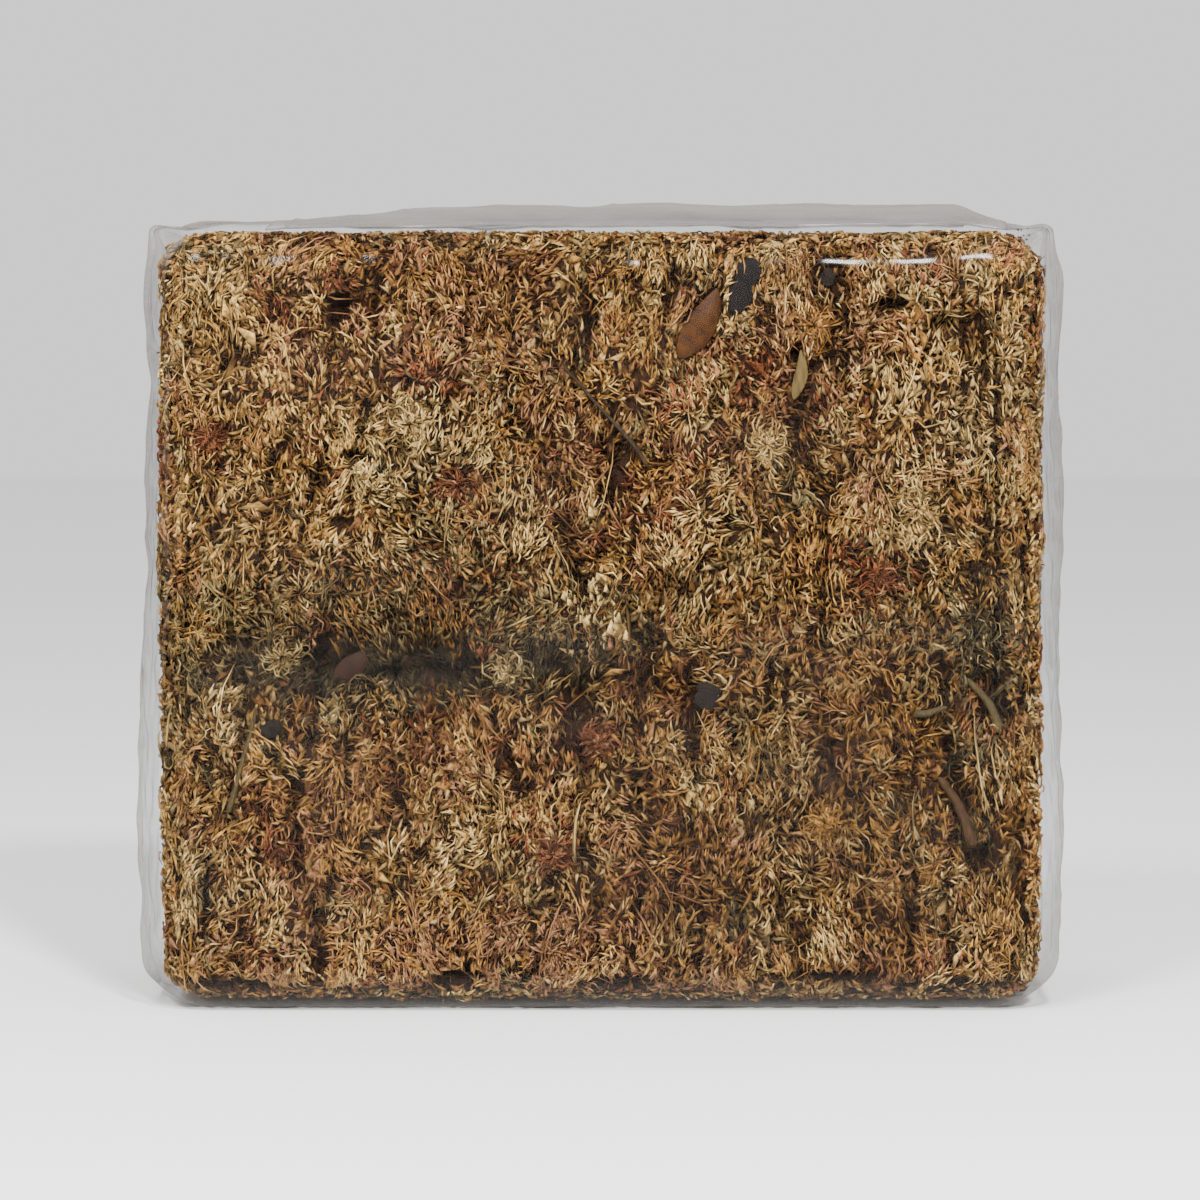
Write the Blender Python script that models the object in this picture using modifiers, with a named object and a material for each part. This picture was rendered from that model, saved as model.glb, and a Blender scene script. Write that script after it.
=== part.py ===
"""A pressed brick of dried sphagnum moss in a clear film bag, with the leaf litter caught in it.

Metres, +Z up. The brick stands on z = 0 with its middle over the origin, and its broad face looks along -Y.
The moss was pressed along X, so its fibres stand upright on the broad faces and run along Y on top.
"""

import math
import random

import bmesh
import bpy
import numpy as np
from mathutils import Matrix, Vector, noise

# The film bag: its outer size without the flap, and the thickness of its solid
BAG_HALF = Vector((0.1160, 0.0455, 0.0990))
FILM = 0.0005
BAG_EDGE = Vector((0.018, 0.012, 0.014))
EAR_EDGE = 0.006
EAR_START = 0.25
EAR_SPAN = 0.45
EAR_FLATTEN = 0.72
FILM_WAVE = 0.0008
FILM_WAVE_LENGTH = 0.045

# The swell of the broad faces and of the ends, the same for the film and the moss
FACE_SWELL = 0.0035
END_SWELL = 0.0015

# The flap: the back of the bag's mouth, folded forward over the top
FLAP_LEFT, FLAP_RIGHT = -0.084, 0.102
FLAP_RISE = (0.0013, 0.0026, 0.0036, 0.0040, 0.0036)
FLAP_REACH = (0.30, 0.02, -0.38, -0.66, -0.88)
MOUTH_LINES = (0.30, 0.38)
BAG_LINES_FRONT = (-1, -0.93, -0.78, -0.40, 0.0)
BAG_LINES_BACK = (0.78, 0.93, 1)

# The moss: its envelope inside the bag, and how its pressed surface is worked
MOSS_HALF = Vector((0.1115, 0.0443, 0.0972))
MOSS_EDGE = Vector((0.020, 0.014, 0.018))
MOSS_FLOOR = 0.0008
LEAST_DEPTH = 0.0034
CLUMP_SIZE = 0.024
CLUMP_DEPTH = 0.0026
CLEFT_SIZE = 0.040
CLEFT_DEPTH = 0.0012
CLEFT_WIDTH = 0.16
UPRIGHT_STRETCH = 0.5

# The shoots that stand out of the moss, larger than life
SHOOTS = 500
SHOOT_TRIES = 16000
SHOOT_SPACING = 0.0053
SHOOT_FLOOR = 0.004
SHOOT_LENGTH = (0.019, 0.030)
SHOOT_RADIUS = (0.0017, 0.0026)
SHOOT_ROOT = 0.0085
SHOOT_DIP = (0.0003, 0.0030)
SHOOT_CURL = 0.20
SHOOT_BENDS = (0.30, 0.68)
GRAIN_SPREAD = 0.5
END_SPREAD = 1.2
SEED = 11

# A piece caught in the moss keeps this much air to it
SEAT_GAP = 0.0003
SEAT_BELOW = 0.0072
CUSHION_BELOW = 0.0080
CUSHION_SIDES = 9
CUSHION_MARGIN = 0.0022

STRAW = (0.38, 0.27, 0.13)
COLOURS = {
    "red": (0.30, 0.085, 0.040),
    "ochre": (0.42, 0.22, 0.060),
    "pale": (0.50, 0.44, 0.27),
    "grey": (0.25, 0.23, 0.14),
}

# Heads of moss that show apart: name, colour, face, place across and up that face, radius
HEADS = (
    ("red_head_1", "red", "front", -0.0360, 0.1323, 0.0056),
    ("red_head_2", "red", "front", -0.0974, 0.1440, 0.0046),
    ("red_head_3", "red", "front", -0.0005, 0.0685, 0.0050),
    ("red_head_4", "red", "front", 0.0690, 0.1100, 0.0050),
    ("ochre_head_1", "ochre", "front", 0.0528, 0.1726, 0.0056),
    ("ochre_head_2", "ochre", "front", -0.0122, 0.0400, 0.0060),
    ("ochre_head_3", "ochre", "front", 0.0560, 0.0480, 0.0052),
    ("pale_head_1", "pale", "front", -0.0480, 0.1480, 0.0060),
    ("pale_head_2", "pale", "front", 0.0790, 0.1270, 0.0062),
    ("pale_head_3", "pale", "front", 0.0410, 0.1430, 0.0052),
    ("grey_head_1", "grey", "front", -0.0800, 0.0900, 0.0060),
    ("grey_head_2", "grey", "front", -0.0230, 0.0860, 0.0052),
    ("red_head_5", "red", "back", -0.0450, 0.1200, 0.0056),
    ("pale_head_4", "pale", "back", 0.0380, 0.1450, 0.0060),
    ("ochre_head_4", "ochre", "back", 0.0150, 0.0620, 0.0056),
    ("grey_head_3", "grey", "back", -0.0700, 0.0600, 0.0056),
)
HEAD_HEIGHT = 0.0074
HEAD_LOBES = 9
HEAD_WAIST = 0.80
HEAD_CROWN = 0.86
SOCKET_SIDES = 12
SOCKET_FLARE = 1.1
# Each ring of a head's dome: share of the radius, and shares of the height at a lobe and between two
HEAD_RINGS = (
    (0.50, 0.0, 0.0),
    (0.96, 0.62, 0.30),
    (0.74, 0.90, 0.55),
    (0.36, 0.92, 0.76),
)

# Leaf litter on the front face: name, colour, place across and up, degrees from upright, length, width
LEAVES = (
    ("amber_leaf", (0.20, 0.075, 0.012), 0.0243, 0.1731, 29, 0.0195, 0.0080),
    ("brown_leaf", (0.075, 0.024, 0.008), -0.0625, 0.0883, 50, 0.0110, 0.0058),
    ("straw_blade", (0.20, 0.13, 0.045), 0.0490, 0.1603, 8, 0.0125, 0.0040),
)
LEAF_THICKNESS = 0.0007
LEAF_ARCH = 0.0008
LEAF_DEPTH = 0.0026

FLAKES = (
    ("bark_flake_1", (0.022, 0.019, 0.018), 0.0356, 0.1830, 18, 0.0076, 0.0028),
    ("peat_flake_1", (0.070, 0.058, 0.048), 0.0265, 0.0800, 10, 0.0034, 0.0030),
    ("peat_flake_2", (0.060, 0.050, 0.050), 0.0564, 0.1845, 30, 0.0022, 0.0018),
    ("peat_flake_3", (0.110, 0.092, 0.075), -0.0828, 0.0715, 60, 0.0030, 0.0020),
)
FLAKE_THICKNESS = 0.0011
FLAKE_DEPTH = 0.0024
FLAKE_SIDES = 7

# Twigs on the front face: name, colour, middle across and up, turn from upright in degrees, length, radius
TWIGS = (
    ("brown_twig", (0.14, 0.060, 0.020), 0.0892, 0.0508, -27, 0.0200, 0.00130),
    ("heath_needle_1", (0.11, 0.078, 0.026), 0.0959, 0.0777, -31, 0.0155, 0.00100),
    ("heath_needle_2", (0.12, 0.090, 0.035), 0.0825, 0.0765, 80, 0.0080, 0.00080),
    ("dark_stem", (0.055, 0.036, 0.020), 0.0010, 0.1495, -40, 0.0300, 0.00060),
    ("olive_stem", (0.085, 0.060, 0.024), -0.0905, 0.0640, 15, 0.0260, 0.00080),
)
TWIG_DEPTH = 0.0023
TWIG_BOW = 0.0010
TWIG_TAPER = 0.25
TWIG_POINTS = 5


def clear_scene():
    for obj in list(bpy.data.objects):
        bpy.data.objects.remove(obj)


def new_collection(name):
    collection = bpy.data.collections.new(name)
    bpy.context.scene.collection.children.link(collection)
    return collection


def material(name, colour, roughness, alpha=1.0):
    made = bpy.data.materials.new(name)
    made.use_nodes = True
    shader = made.node_tree.nodes["Principled BSDF"]
    shader.inputs["Base Color"].default_value = (*colour, 1.0)
    shader.inputs["Roughness"].default_value = roughness
    shader.inputs["Metallic"].default_value = 0.0
    shader.inputs["Alpha"].default_value = alpha
    return made


def smooth(t):
    """0 below 0, 1 above 1, with a soft step between."""
    t = min(1.0, max(0.0, t))
    return t * t * (3 - 2 * t)


def object_of(bm, name, collection):
    bm.normal_update()
    mesh = bpy.data.meshes.new(name)
    bm.to_mesh(mesh)
    bm.free()
    obj = bpy.data.objects.new(name, mesh)
    collection.objects.link(obj)
    return obj


def lines(count, towards_edges):
    """Grid lines from -1 to 1, drawn towards the ends by a sine."""
    even = [2 * i / count - 1 for i in range(count + 1)]
    return [(1 - towards_edges) * t + towards_edges * math.sin(t * math.pi / 2) for t in even]


def gridded_cube(x_lines, y_lines, z_lines):
    """A cube from -1 to 1 with its faces cut along these lines."""
    bm = bmesh.new()
    bmesh.ops.create_cube(bm, size=2)
    for axis, cuts in enumerate((x_lines, y_lines, z_lines)):
        normal = Vector((0, 0, 0))
        normal[axis] = 1
        for cut in cuts[1:-1]:
            whole = bm.verts[:] + bm.edges[:] + bm.faces[:]
            bmesh.ops.bisect_plane(bm, geom=whole, plane_co=normal * cut, plane_no=normal)
    return bm


def swell_factors(at, half):
    """How much a point at these shares of the half sizes swells along X and Y."""
    u, v, w = (min(1.0, abs(c)) for c in at)
    return (
        1 + END_SWELL / half.x * (1 - v * v) * (1 - w * w),
        1 + FACE_SWELL / half.y * (1 - u * u) * (1 - w * w),
    )


def rounded(at, half, edge):
    """The point of a box with elliptic edges that stands for a point of the cube, and the way out of it."""
    flat = Vector(at[i] * half[i] for i in range(3))
    inner = Vector(max(-(half[i] - edge[i]), min(half[i] - edge[i], flat[i])) for i in range(3))
    out = Vector((flat[i] - inner[i]) / edge[i] for i in range(3))
    out.normalize()
    point = Vector(inner[i] + edge[i] * out[i] for i in range(3))
    normal = Vector(out[i] / edge[i] for i in range(3)).normalized()
    along_x, along_y = swell_factors(at, half)
    return Vector((point.x * along_x, point.y * along_y, point.z)), normal


def held_inside(point, room):
    """The point, drawn into the moss envelope so that it lies at least room below it."""
    centre = Vector((0, 0, MOSS_HALF.z + MOSS_FLOOR))
    local = point - centre
    along_x, along_y = swell_factors([local[i] / MOSS_HALF[i] for i in range(3)], MOSS_HALF)
    local = Vector((local.x / along_x, local.y / along_y, local.z))
    edge = [MOSS_EDGE[i] - room for i in range(3)]
    inner = Vector(
        max(-(MOSS_HALF[i] - MOSS_EDGE[i]), min(MOSS_HALF[i] - MOSS_EDGE[i], local[i])) for i in range(3)
    )
    out = Vector((local[i] - inner[i]) / edge[i] for i in range(3))
    if out.length > 1:
        out.normalize()
        local = Vector(inner[i] + edge[i] * out[i] for i in range(3))
    return Vector((local.x * along_x, local.y * along_y, local.z)) + centre


def moss_envelope(at):
    """The point of the moss envelope for a point of the cube, and the way out."""
    point, normal = rounded(at, MOSS_HALF, MOSS_EDGE)
    return point + Vector((0, 0, MOSS_HALF.z + MOSS_FLOOR)), normal


def on_broad_face(face, across, up):
    """The envelope point of the front or the back at this place, and the way out."""
    side = -1 if face == "front" else 1
    return moss_envelope((across / MOSS_HALF.x, side, (up - MOSS_FLOOR) / MOSS_HALF.z - 1))


def turned(degrees):
    """The upright direction turned in the plane of the front face, clockwise seen from the front."""
    angle = math.radians(degrees)
    return Vector((math.sin(angle), 0, math.cos(angle)))


def moss_core(collection):
    """The packed moss, sunk from its envelope by soft upright clumps with clefts between them."""
    bm = gridded_cube(lines(13, 0.3), lines(5, 0.6), lines(9, 0.4))
    for vert in bm.verts:
        point, normal = moss_envelope(vert.co)
        stretched = Vector((point.x, point.y, UPRIGHT_STRETCH * point.z))
        clump = 0.5 + 0.5 * noise.noise(stretched / CLUMP_SIZE)
        cleft = smooth(1 - abs(noise.noise(stretched / CLEFT_SIZE)) / CLEFT_WIDTH)
        underside = smooth((-normal.z - 0.6) / 0.3)
        depth = LEAST_DEPTH + CLUMP_DEPTH * clump + CLEFT_DEPTH * cleft
        vert.co = point - normal * (depth * (1 - underside))
    return object_of(bm, "moss_block", collection)


def shoot(path, radius, normal, collection):
    """A three-sided shoot along root, two bends and tip, pointed at both ends, with its ridge outwards."""
    bm = bmesh.new()
    root, low, high, tip = path
    rings = []
    for centre, along, wide in ((low, high - root, radius), (high, tip - low, 0.8 * radius)):
        side = along.cross(normal).normalized() * wide
        ridge = centre + normal * (0.8 * wide)
        keel = centre - normal * (0.5 * wide)
        rings.append([bm.verts.new(co) for co in (ridge, keel + side, keel - side)])
    first, last = bm.verts.new(root), bm.verts.new(tip)
    for i in range(3):
        after = (i + 1) % 3
        bm.faces.new((rings[0][after], rings[0][i], first))
        bm.faces.new((rings[0][i], rings[0][after], rings[1][after], rings[1][i]))
        bm.faces.new((rings[1][i], rings[1][after], last))
    bmesh.ops.triangulate(bm, faces=bm.faces)
    bmesh.ops.recalc_face_normals(bm, faces=bm.faces)
    return object_of(bm, "shoot", collection)


def random_place(rng):
    """A random point of the cube's faces, as often on each as the moss face there is large."""
    x, y, z = MOSS_HALF
    axis = rng.choices((0, 1, 2), weights=(y * z, x * z, x * y))[0]
    at = [rng.uniform(-0.97, 0.97) for _ in range(3)]
    at[axis] = rng.choice((-1, 1))
    return at


def shoot_path(point, normal, radius, rng):
    """Root, bends and tip of a shoot that leaves the core and lies along the grain under the envelope."""
    grain = Vector((0, 0, 1)) if abs(normal.z) < 0.7 else Vector((0, 1, 0))
    spread = END_SPREAD if abs(normal.x) > 0.7 else GRAIN_SPREAD
    along = Matrix.Rotation(rng.gauss(0, spread), 3, normal) @ (grain - normal * grain.dot(normal))
    along = along.normalized() * rng.choice((-1, 1))
    sideways = normal.cross(along)
    length = rng.uniform(*SHOOT_LENGTH)
    curl = rng.uniform(-SHOOT_CURL, SHOOT_CURL) * length
    first, second = SHOOT_BENDS
    root = point - normal * SHOOT_ROOT
    low = held_inside(point + along * (first * length) + sideways * (0.6 * curl), radius)
    high = held_inside(point + along * (second * length) + sideways * curl, radius)
    tip = held_inside(point + along * length - normal * rng.uniform(*SHOOT_DIP), SEAT_GAP)
    return root, low, high, tip


def add_shoots(collection):
    """Shoots all over the moss but its underside, each at least SHOOT_SPACING from the others all along."""
    rng = random.Random(SEED)
    taken = np.full((1, 3), math.inf)
    added = 0
    for _ in range(SHOOT_TRIES):
        point, normal = moss_envelope(random_place(rng))
        radius = rng.uniform(*SHOOT_RADIUS)
        path = shoot_path(point, normal, radius, rng)
        _, low, high, tip = path
        spots = np.array([point, low, low.lerp(high, 0.5), high, high.lerp(tip, 0.5), tip])
        crowded = np.linalg.norm(taken[:, None] - spots[None], axis=2).min() < SHOOT_SPACING
        if crowded or normal.z < -0.5 or spots[:, 2].min() < SHOOT_FLOOR:
            continue
        taken = np.vstack((taken, spots))
        shoot(path, radius, normal, collection)
        added += 1
        if added == SHOOTS:
            break


def add_cushions(collection):
    """A pad of moss that comes up from the core under each leaf, flake and twig."""
    litter = [(*piece[2:6], piece[6], LEAF_DEPTH) for piece in LEAVES]
    litter += [(*piece[2:5], 2 * piece[5], 2 * piece[6], FLAKE_DEPTH) for piece in FLAKES]
    litter += [(*piece[2:6], 2 * piece[6], TWIG_DEPTH) for piece in TWIGS]
    for x, z, turn, length, width, depth in litter:
        point, normal = on_broad_face("front", x, z)
        tall = CUSHION_BELOW - depth + SEAT_GAP
        bm = bmesh.new()
        bmesh.ops.create_cone(
            bm, cap_ends=True, segments=CUSHION_SIDES, radius1=1.5, radius2=1.0, depth=tall
        )
        size = Matrix.Diagonal((0.5 * width + CUSHION_MARGIN, 0.5 * length + CUSHION_MARGIN, 1, 1))
        middle = Matrix.Translation((0, 0, 0.5 * tall))
        seat = frame_at(point - normal * CUSHION_BELOW, normal, turn)
        bmesh.ops.transform(bm, matrix=seat @ size @ middle, verts=bm.verts)
        object_of(bm, "cushion", collection)


def applied(obj):
    """The object's modifiers made part of its mesh."""
    graph = bpy.context.evaluated_depsgraph_get()
    mesh = bpy.data.meshes.new_from_object(obj.evaluated_get(graph))
    obj.modifiers.clear()
    obj.data = mesh


def combine(obj, others, operation):
    """One Boolean of the object with all of a collection, applied, and the collection then removed."""
    boolean = obj.modifiers.new(operation.title(), "BOOLEAN")
    boolean.operation = operation
    boolean.operand_type = "COLLECTION"
    boolean.collection = others
    boolean.solver = "MANIFOLD"
    applied(obj)
    for other in list(others.objects):
        bpy.data.objects.remove(other)
    bpy.data.collections.remove(others)


def keep_largest_shell(obj):
    """Drops the loose scraps that a cut leaves and fills any hollow that fusing sealed."""
    bm = bmesh.new()
    bm.from_mesh(obj.data)
    bmesh.ops.triangulate(bm, faces=bm.faces)
    left = set(bm.faces)
    shells = []
    while left:
        shell, border = set(), {next(iter(left))}
        while border:
            shell |= border
            rims = {edge for face in border for edge in face.edges if len(edge.link_faces) == 2}
            border = {face for edge in rims for face in edge.link_faces} - shell
        left -= shell
        shells.append(shell)
    largest = max(shells, key=len)
    bmesh.ops.delete(bm, geom=[face for face in bm.faces if face not in largest], context="FACES")
    bm.to_mesh(obj.data)
    bm.free()


def frame_at(point, normal, turn=0.0):
    """A matrix that stands +Z along the normal at a point, with +Y upright on the face, turned by degrees."""
    up = turned(turn)
    up = (up - normal * up.dot(normal)).normalized()
    across = up.cross(normal)
    return Matrix.Translation(point) @ Matrix((across, up, normal)).transposed().to_4x4()


def head(name, face, x, z, radius, parts, sockets):
    """A moss head: a dome of lobes that curl out of one foot, and the socket that it leaves in the moss."""
    point, normal = on_broad_face(face, x, z)
    seat = frame_at(point - normal * HEAD_HEIGHT, normal)
    bm = bmesh.new()
    rings = []
    for reach, crest, valley in HEAD_RINGS:
        ring = []
        for i in range(2 * HEAD_LOBES):
            angle = math.pi * (i + 2 * reach) / HEAD_LOBES
            lobe = i % 2 == 0
            out = radius * reach * (1.0 if lobe else HEAD_WAIST)
            up = HEAD_HEIGHT * (crest if lobe else valley)
            ring.append(bm.verts.new((out * math.cos(angle), out * math.sin(angle), up)))
        rings.append(ring)
    top = bm.verts.new((0, 0, HEAD_HEIGHT * HEAD_CROWN))
    bm.faces.new(rings[0])
    for i in range(2 * HEAD_LOBES):
        after = (i + 1) % (2 * HEAD_LOBES)
        for low, high in zip(rings, rings[1:]):
            bm.faces.new((low[i], low[after], high[after], high[i]))
        bm.faces.new((rings[-1][i], rings[-1][after], top))
    bmesh.ops.recalc_face_normals(bm, faces=bm.faces)
    bmesh.ops.transform(bm, matrix=seat, verts=bm.verts)
    made = object_of(bm, name, parts)
    socket = bmesh.new()
    room = radius + SEAT_GAP
    bmesh.ops.create_cone(
        socket,
        cap_ends=True,
        segments=SOCKET_SIDES,
        radius1=room,
        radius2=SOCKET_FLARE * room,
        depth=2 * HEAD_HEIGHT,
    )
    below = Matrix.Translation((0, 0, HEAD_HEIGHT - SEAT_GAP))
    bmesh.ops.transform(socket, matrix=seat @ below, verts=socket.verts)
    object_of(socket, f"{name}_socket", sockets)
    return made


def plate(name, outline, thickness, arch, seat, parts, sockets):
    """A thin arched plate with this outline of (across, along) points, and the socket that it leaves."""
    bm = bmesh.new()
    ring = [bm.verts.new((across, along, 0)) for across, along in outline]
    bm.faces.new(ring)
    bmesh.ops.triangulate(bm, faces=bm.faces)
    solid = bmesh.ops.extrude_face_region(bm, geom=bm.faces[:])
    raised = [item for item in solid["geom"] if isinstance(item, bmesh.types.BMVert)]
    bmesh.ops.translate(bm, verts=raised, vec=(0, 0, thickness))
    longest = max(abs(along) for _, along in outline)
    for vert in bm.verts:
        vert.co.z += arch * (1 - (vert.co.y / longest) ** 2)
    bmesh.ops.recalc_face_normals(bm, faces=bm.faces)
    bmesh.ops.transform(bm, matrix=seat, verts=bm.verts)
    made = object_of(bm, name, parts)
    cut = bmesh.new()
    grown = []
    for across, along in outline:
        far = Vector((across, along)).length
        grown.append((across * (1 + 2 * SEAT_GAP / far), along * (1 + 2 * SEAT_GAP / far)))
    floor = [cut.verts.new((across, along, -SEAT_GAP)) for across, along in grown]
    cut.faces.new(floor)
    bmesh.ops.triangulate(cut, faces=cut.faces)
    solid = bmesh.ops.extrude_face_region(cut, geom=cut.faces[:])
    raised = [item for item in solid["geom"] if isinstance(item, bmesh.types.BMVert)]
    bmesh.ops.translate(cut, verts=raised, vec=(0, 0, SEAT_BELOW))
    bmesh.ops.recalc_face_normals(cut, faces=cut.faces)
    bmesh.ops.transform(cut, matrix=seat, verts=cut.verts)
    object_of(cut, f"{name}_socket", sockets)
    return made


def leaf_outline(length, width):
    """A leaf blade, pointed at both ends and fullest below its middle, with a stepped margin."""
    steps = 6
    right = []
    for i in range(1, steps):
        t = i / steps
        full = math.sin(math.pi * t**0.8) * (1.0 if i % 2 else 0.88)
        right.append((0.5 * width * full, length * (t - 0.5)))
    left = [(-across, along) for across, along in reversed(right)]
    return [(0, -0.5 * length), *right, (0, 0.5 * length), *left]


def flake_outline(length, width, rng):
    """A broken flake: an oval with uneven corners."""
    ring = []
    for i in range(FLAKE_SIDES):
        angle = 2 * math.pi * i / FLAKE_SIDES
        uneven = rng.uniform(0.8, 1.0)
        ring.append((width * uneven * math.cos(angle), length * uneven * math.sin(angle)))
    return ring


def twig(name, x, z, turn, length, radius, parts, sockets):
    """A twig along a slightly bowed line on the front face, and the trough that it leaves."""
    middle, normal = on_broad_face("front", x, z)
    seat = frame_at(middle - normal * TWIG_DEPTH, normal, turn)
    made = []
    for tube, wide, collection in ((name, radius, parts), (f"{name}_socket", radius + SEAT_GAP, sockets)):
        curve = bpy.data.curves.new(tube, "CURVE")
        curve.dimensions = "3D"
        curve.bevel_depth = wide
        curve.bevel_resolution = 1
        curve.use_fill_caps = True
        spline = curve.splines.new("POLY")
        spline.points.add(TWIG_POINTS - 1)
        longer = length + 4 * (wide - radius)
        for i, point in enumerate(spline.points):
            t = 2 * i / (TWIG_POINTS - 1) - 1
            spot = seat @ Vector((TWIG_BOW * (1 - t * t), 0.5 * longer * t, 0))
            point.co = (*held_inside(spot, radius + SEAT_GAP), 1.0)
            point.radius = 1.0 - TWIG_TAPER * max(0.0, t) if wide == radius else 1.0
        obj = bpy.data.objects.new(tube, curve)
        collection.objects.link(obj)
        made.append(obj)
    return meshed(made[0], name, parts), meshed(made[1], f"{name}_socket", sockets)


def meshed(obj, name, collection):
    """The curve's solid as a mesh object with its caps welded."""
    bpy.context.view_layer.update()
    graph = bpy.context.evaluated_depsgraph_get()
    mesh = bpy.data.meshes.new_from_object(obj.evaluated_get(graph))
    bm = bmesh.new()
    bm.from_mesh(mesh)
    bmesh.ops.remove_doubles(bm, verts=bm.verts, dist=1e-6)
    bm.transform(obj.matrix_world)
    bm.to_mesh(mesh)
    bm.free()
    bpy.data.objects.remove(obj)
    made = bpy.data.objects.new(name, mesh)
    collection.objects.link(made)
    return made


def ear(at):
    """1 at the three corners where the bag stands off the moss as a flat ear, 0 where moss is behind it."""
    if at[0] > 0 and at[2] < 0:
        return 0.0
    beyond = [
        max(0.0, abs(at[i]) * BAG_HALF[i] - MOSS_HALF[i] + MOSS_EDGE[i]) / MOSS_EDGE[i] for i in (0, 2)
    ]
    return smooth((math.hypot(*beyond) - 1 - EAR_START) / EAR_SPAN)


def bag_point(at):
    """The film's outer surface for a point of the cube: rounded, swollen, waved, and flat at its ears."""
    pinch = ear(at)
    edge = BAG_EDGE.lerp(Vector((EAR_EDGE, BAG_EDGE.y, EAR_EDGE)), pinch)
    point, normal = rounded(at, BAG_HALF, edge)
    wave = 0.5 + 0.5 * noise.noise(point / FILM_WAVE_LENGTH)
    calm = smooth((at[2] + 1) / 0.12)
    point += normal * (FILM_WAVE * wave * calm)
    point.y *= 1 - pinch * EAR_FLATTEN
    return point + Vector((0, 0, BAG_HALF.z))


def flap_lines(x_lines):
    """The grid lines of the bag that the flap spans."""
    return [u for u in x_lines if FLAP_LEFT <= u * BAG_HALF.x <= FLAP_RIGHT]


def film_bag(collection):
    """The bag: a gridded box with its mouth on top left open, whose back is drawn forward as the flap."""
    x_lines = lines(13, 0.85)
    y_lines = [*BAG_LINES_FRONT, *MOUTH_LINES, *BAG_LINES_BACK]
    bm = gridded_cube(x_lines, y_lines, lines(11, 0.9))
    spanned = flap_lines(x_lines)
    mouth = []
    for face in bm.faces:
        middle = face.calc_center_median()
        in_mouth = MOUTH_LINES[0] < middle.y < MOUTH_LINES[1] and middle.z > 0.999
        if in_mouth and spanned[0] < middle.x < spanned[-1]:
            mouth.append(face)
    bmesh.ops.delete(bm, geom=mouth, context="FACES_ONLY")
    hem = [
        edge
        for edge in bm.edges
        if edge.is_boundary and all(abs(vert.co.y - MOUTH_LINES[1]) < 1e-4 for vert in edge.verts)
    ]
    lift = {}
    for reach, rise in zip(FLAP_REACH, FLAP_RISE):
        grown = bmesh.ops.extrude_edge_only(bm, edges=hem)["geom"]
        hem = [item for item in grown if isinstance(item, bmesh.types.BMEdge)]
        for vert in (item for item in grown if isinstance(item, bmesh.types.BMVert)):
            vert.co.y = reach
            lift[vert] = rise
        hem = [edge for edge in hem if all(abs(vert.co.y - reach) < 1e-4 for vert in edge.verts)]
    for vert in bm.verts:
        raised = lift.get(vert, 0.0)
        vert.co = bag_point(vert.co) + Vector((0, 0, raised))
    bmesh.ops.recalc_face_normals(bm, faces=bm.faces)
    bag = object_of(bm, "film_bag", collection)
    skin = bag.modifiers.new("Film", "SOLIDIFY")
    skin.thickness = FILM
    skin.offset = -1
    skin.use_rim = True
    return bag


def finish(obj, made):
    obj.data.materials.clear()
    obj.data.materials.append(made)


def main():
    clear_scene()
    parts = new_collection("sphagnum_moss_brick")
    sockets = new_collection("sockets")
    block = moss_core(parts)
    growth = new_collection("growth")
    add_shoots(growth)
    add_cushions(growth)
    combine(block, growth, "UNION")
    finish(block, material("moss_straw", STRAW, 0.9))
    tints = {name: material(f"moss_{name}", colour, 0.9) for name, colour in COLOURS.items()}
    for name, tint, face, x, z, radius in HEADS:
        finish(head(name, face, x, z, radius, parts, sockets), tints[tint])
    for name, colour, x, z, turn, length, width in LEAVES:
        point, normal = on_broad_face("front", x, z)
        seat = frame_at(point - normal * LEAF_DEPTH, normal, turn)
        blade = plate(name, leaf_outline(length, width), LEAF_THICKNESS, LEAF_ARCH, seat, parts, sockets)
        finish(blade, material(name, colour, 0.45))
    rng = random.Random(SEED)
    for name, colour, x, z, turn, length, width in FLAKES:
        point, normal = on_broad_face("front", x, z)
        seat = frame_at(point - normal * FLAKE_DEPTH, normal, turn)
        outline = flake_outline(length, width, rng)
        flake = plate(name, outline, FLAKE_THICKNESS, 0.0, seat, parts, sockets)
        finish(flake, material(name, colour, 0.8))
    for name, colour, x, z, turn, length, radius in TWIGS:
        stick, _ = twig(name, x, z, turn, length, radius, parts, sockets)
        finish(stick, material(name, colour, 0.6))
    combine(block, sockets, "DIFFERENCE")
    keep_largest_shell(block)
    finish(film_bag(parts), material("clear_film", (0.86, 0.86, 0.85), 0.15, 0.25))


main()
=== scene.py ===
"""Looks of the sphagnum moss brick: its dried shoots, the litter among them, and the clear film bag."""

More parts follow.
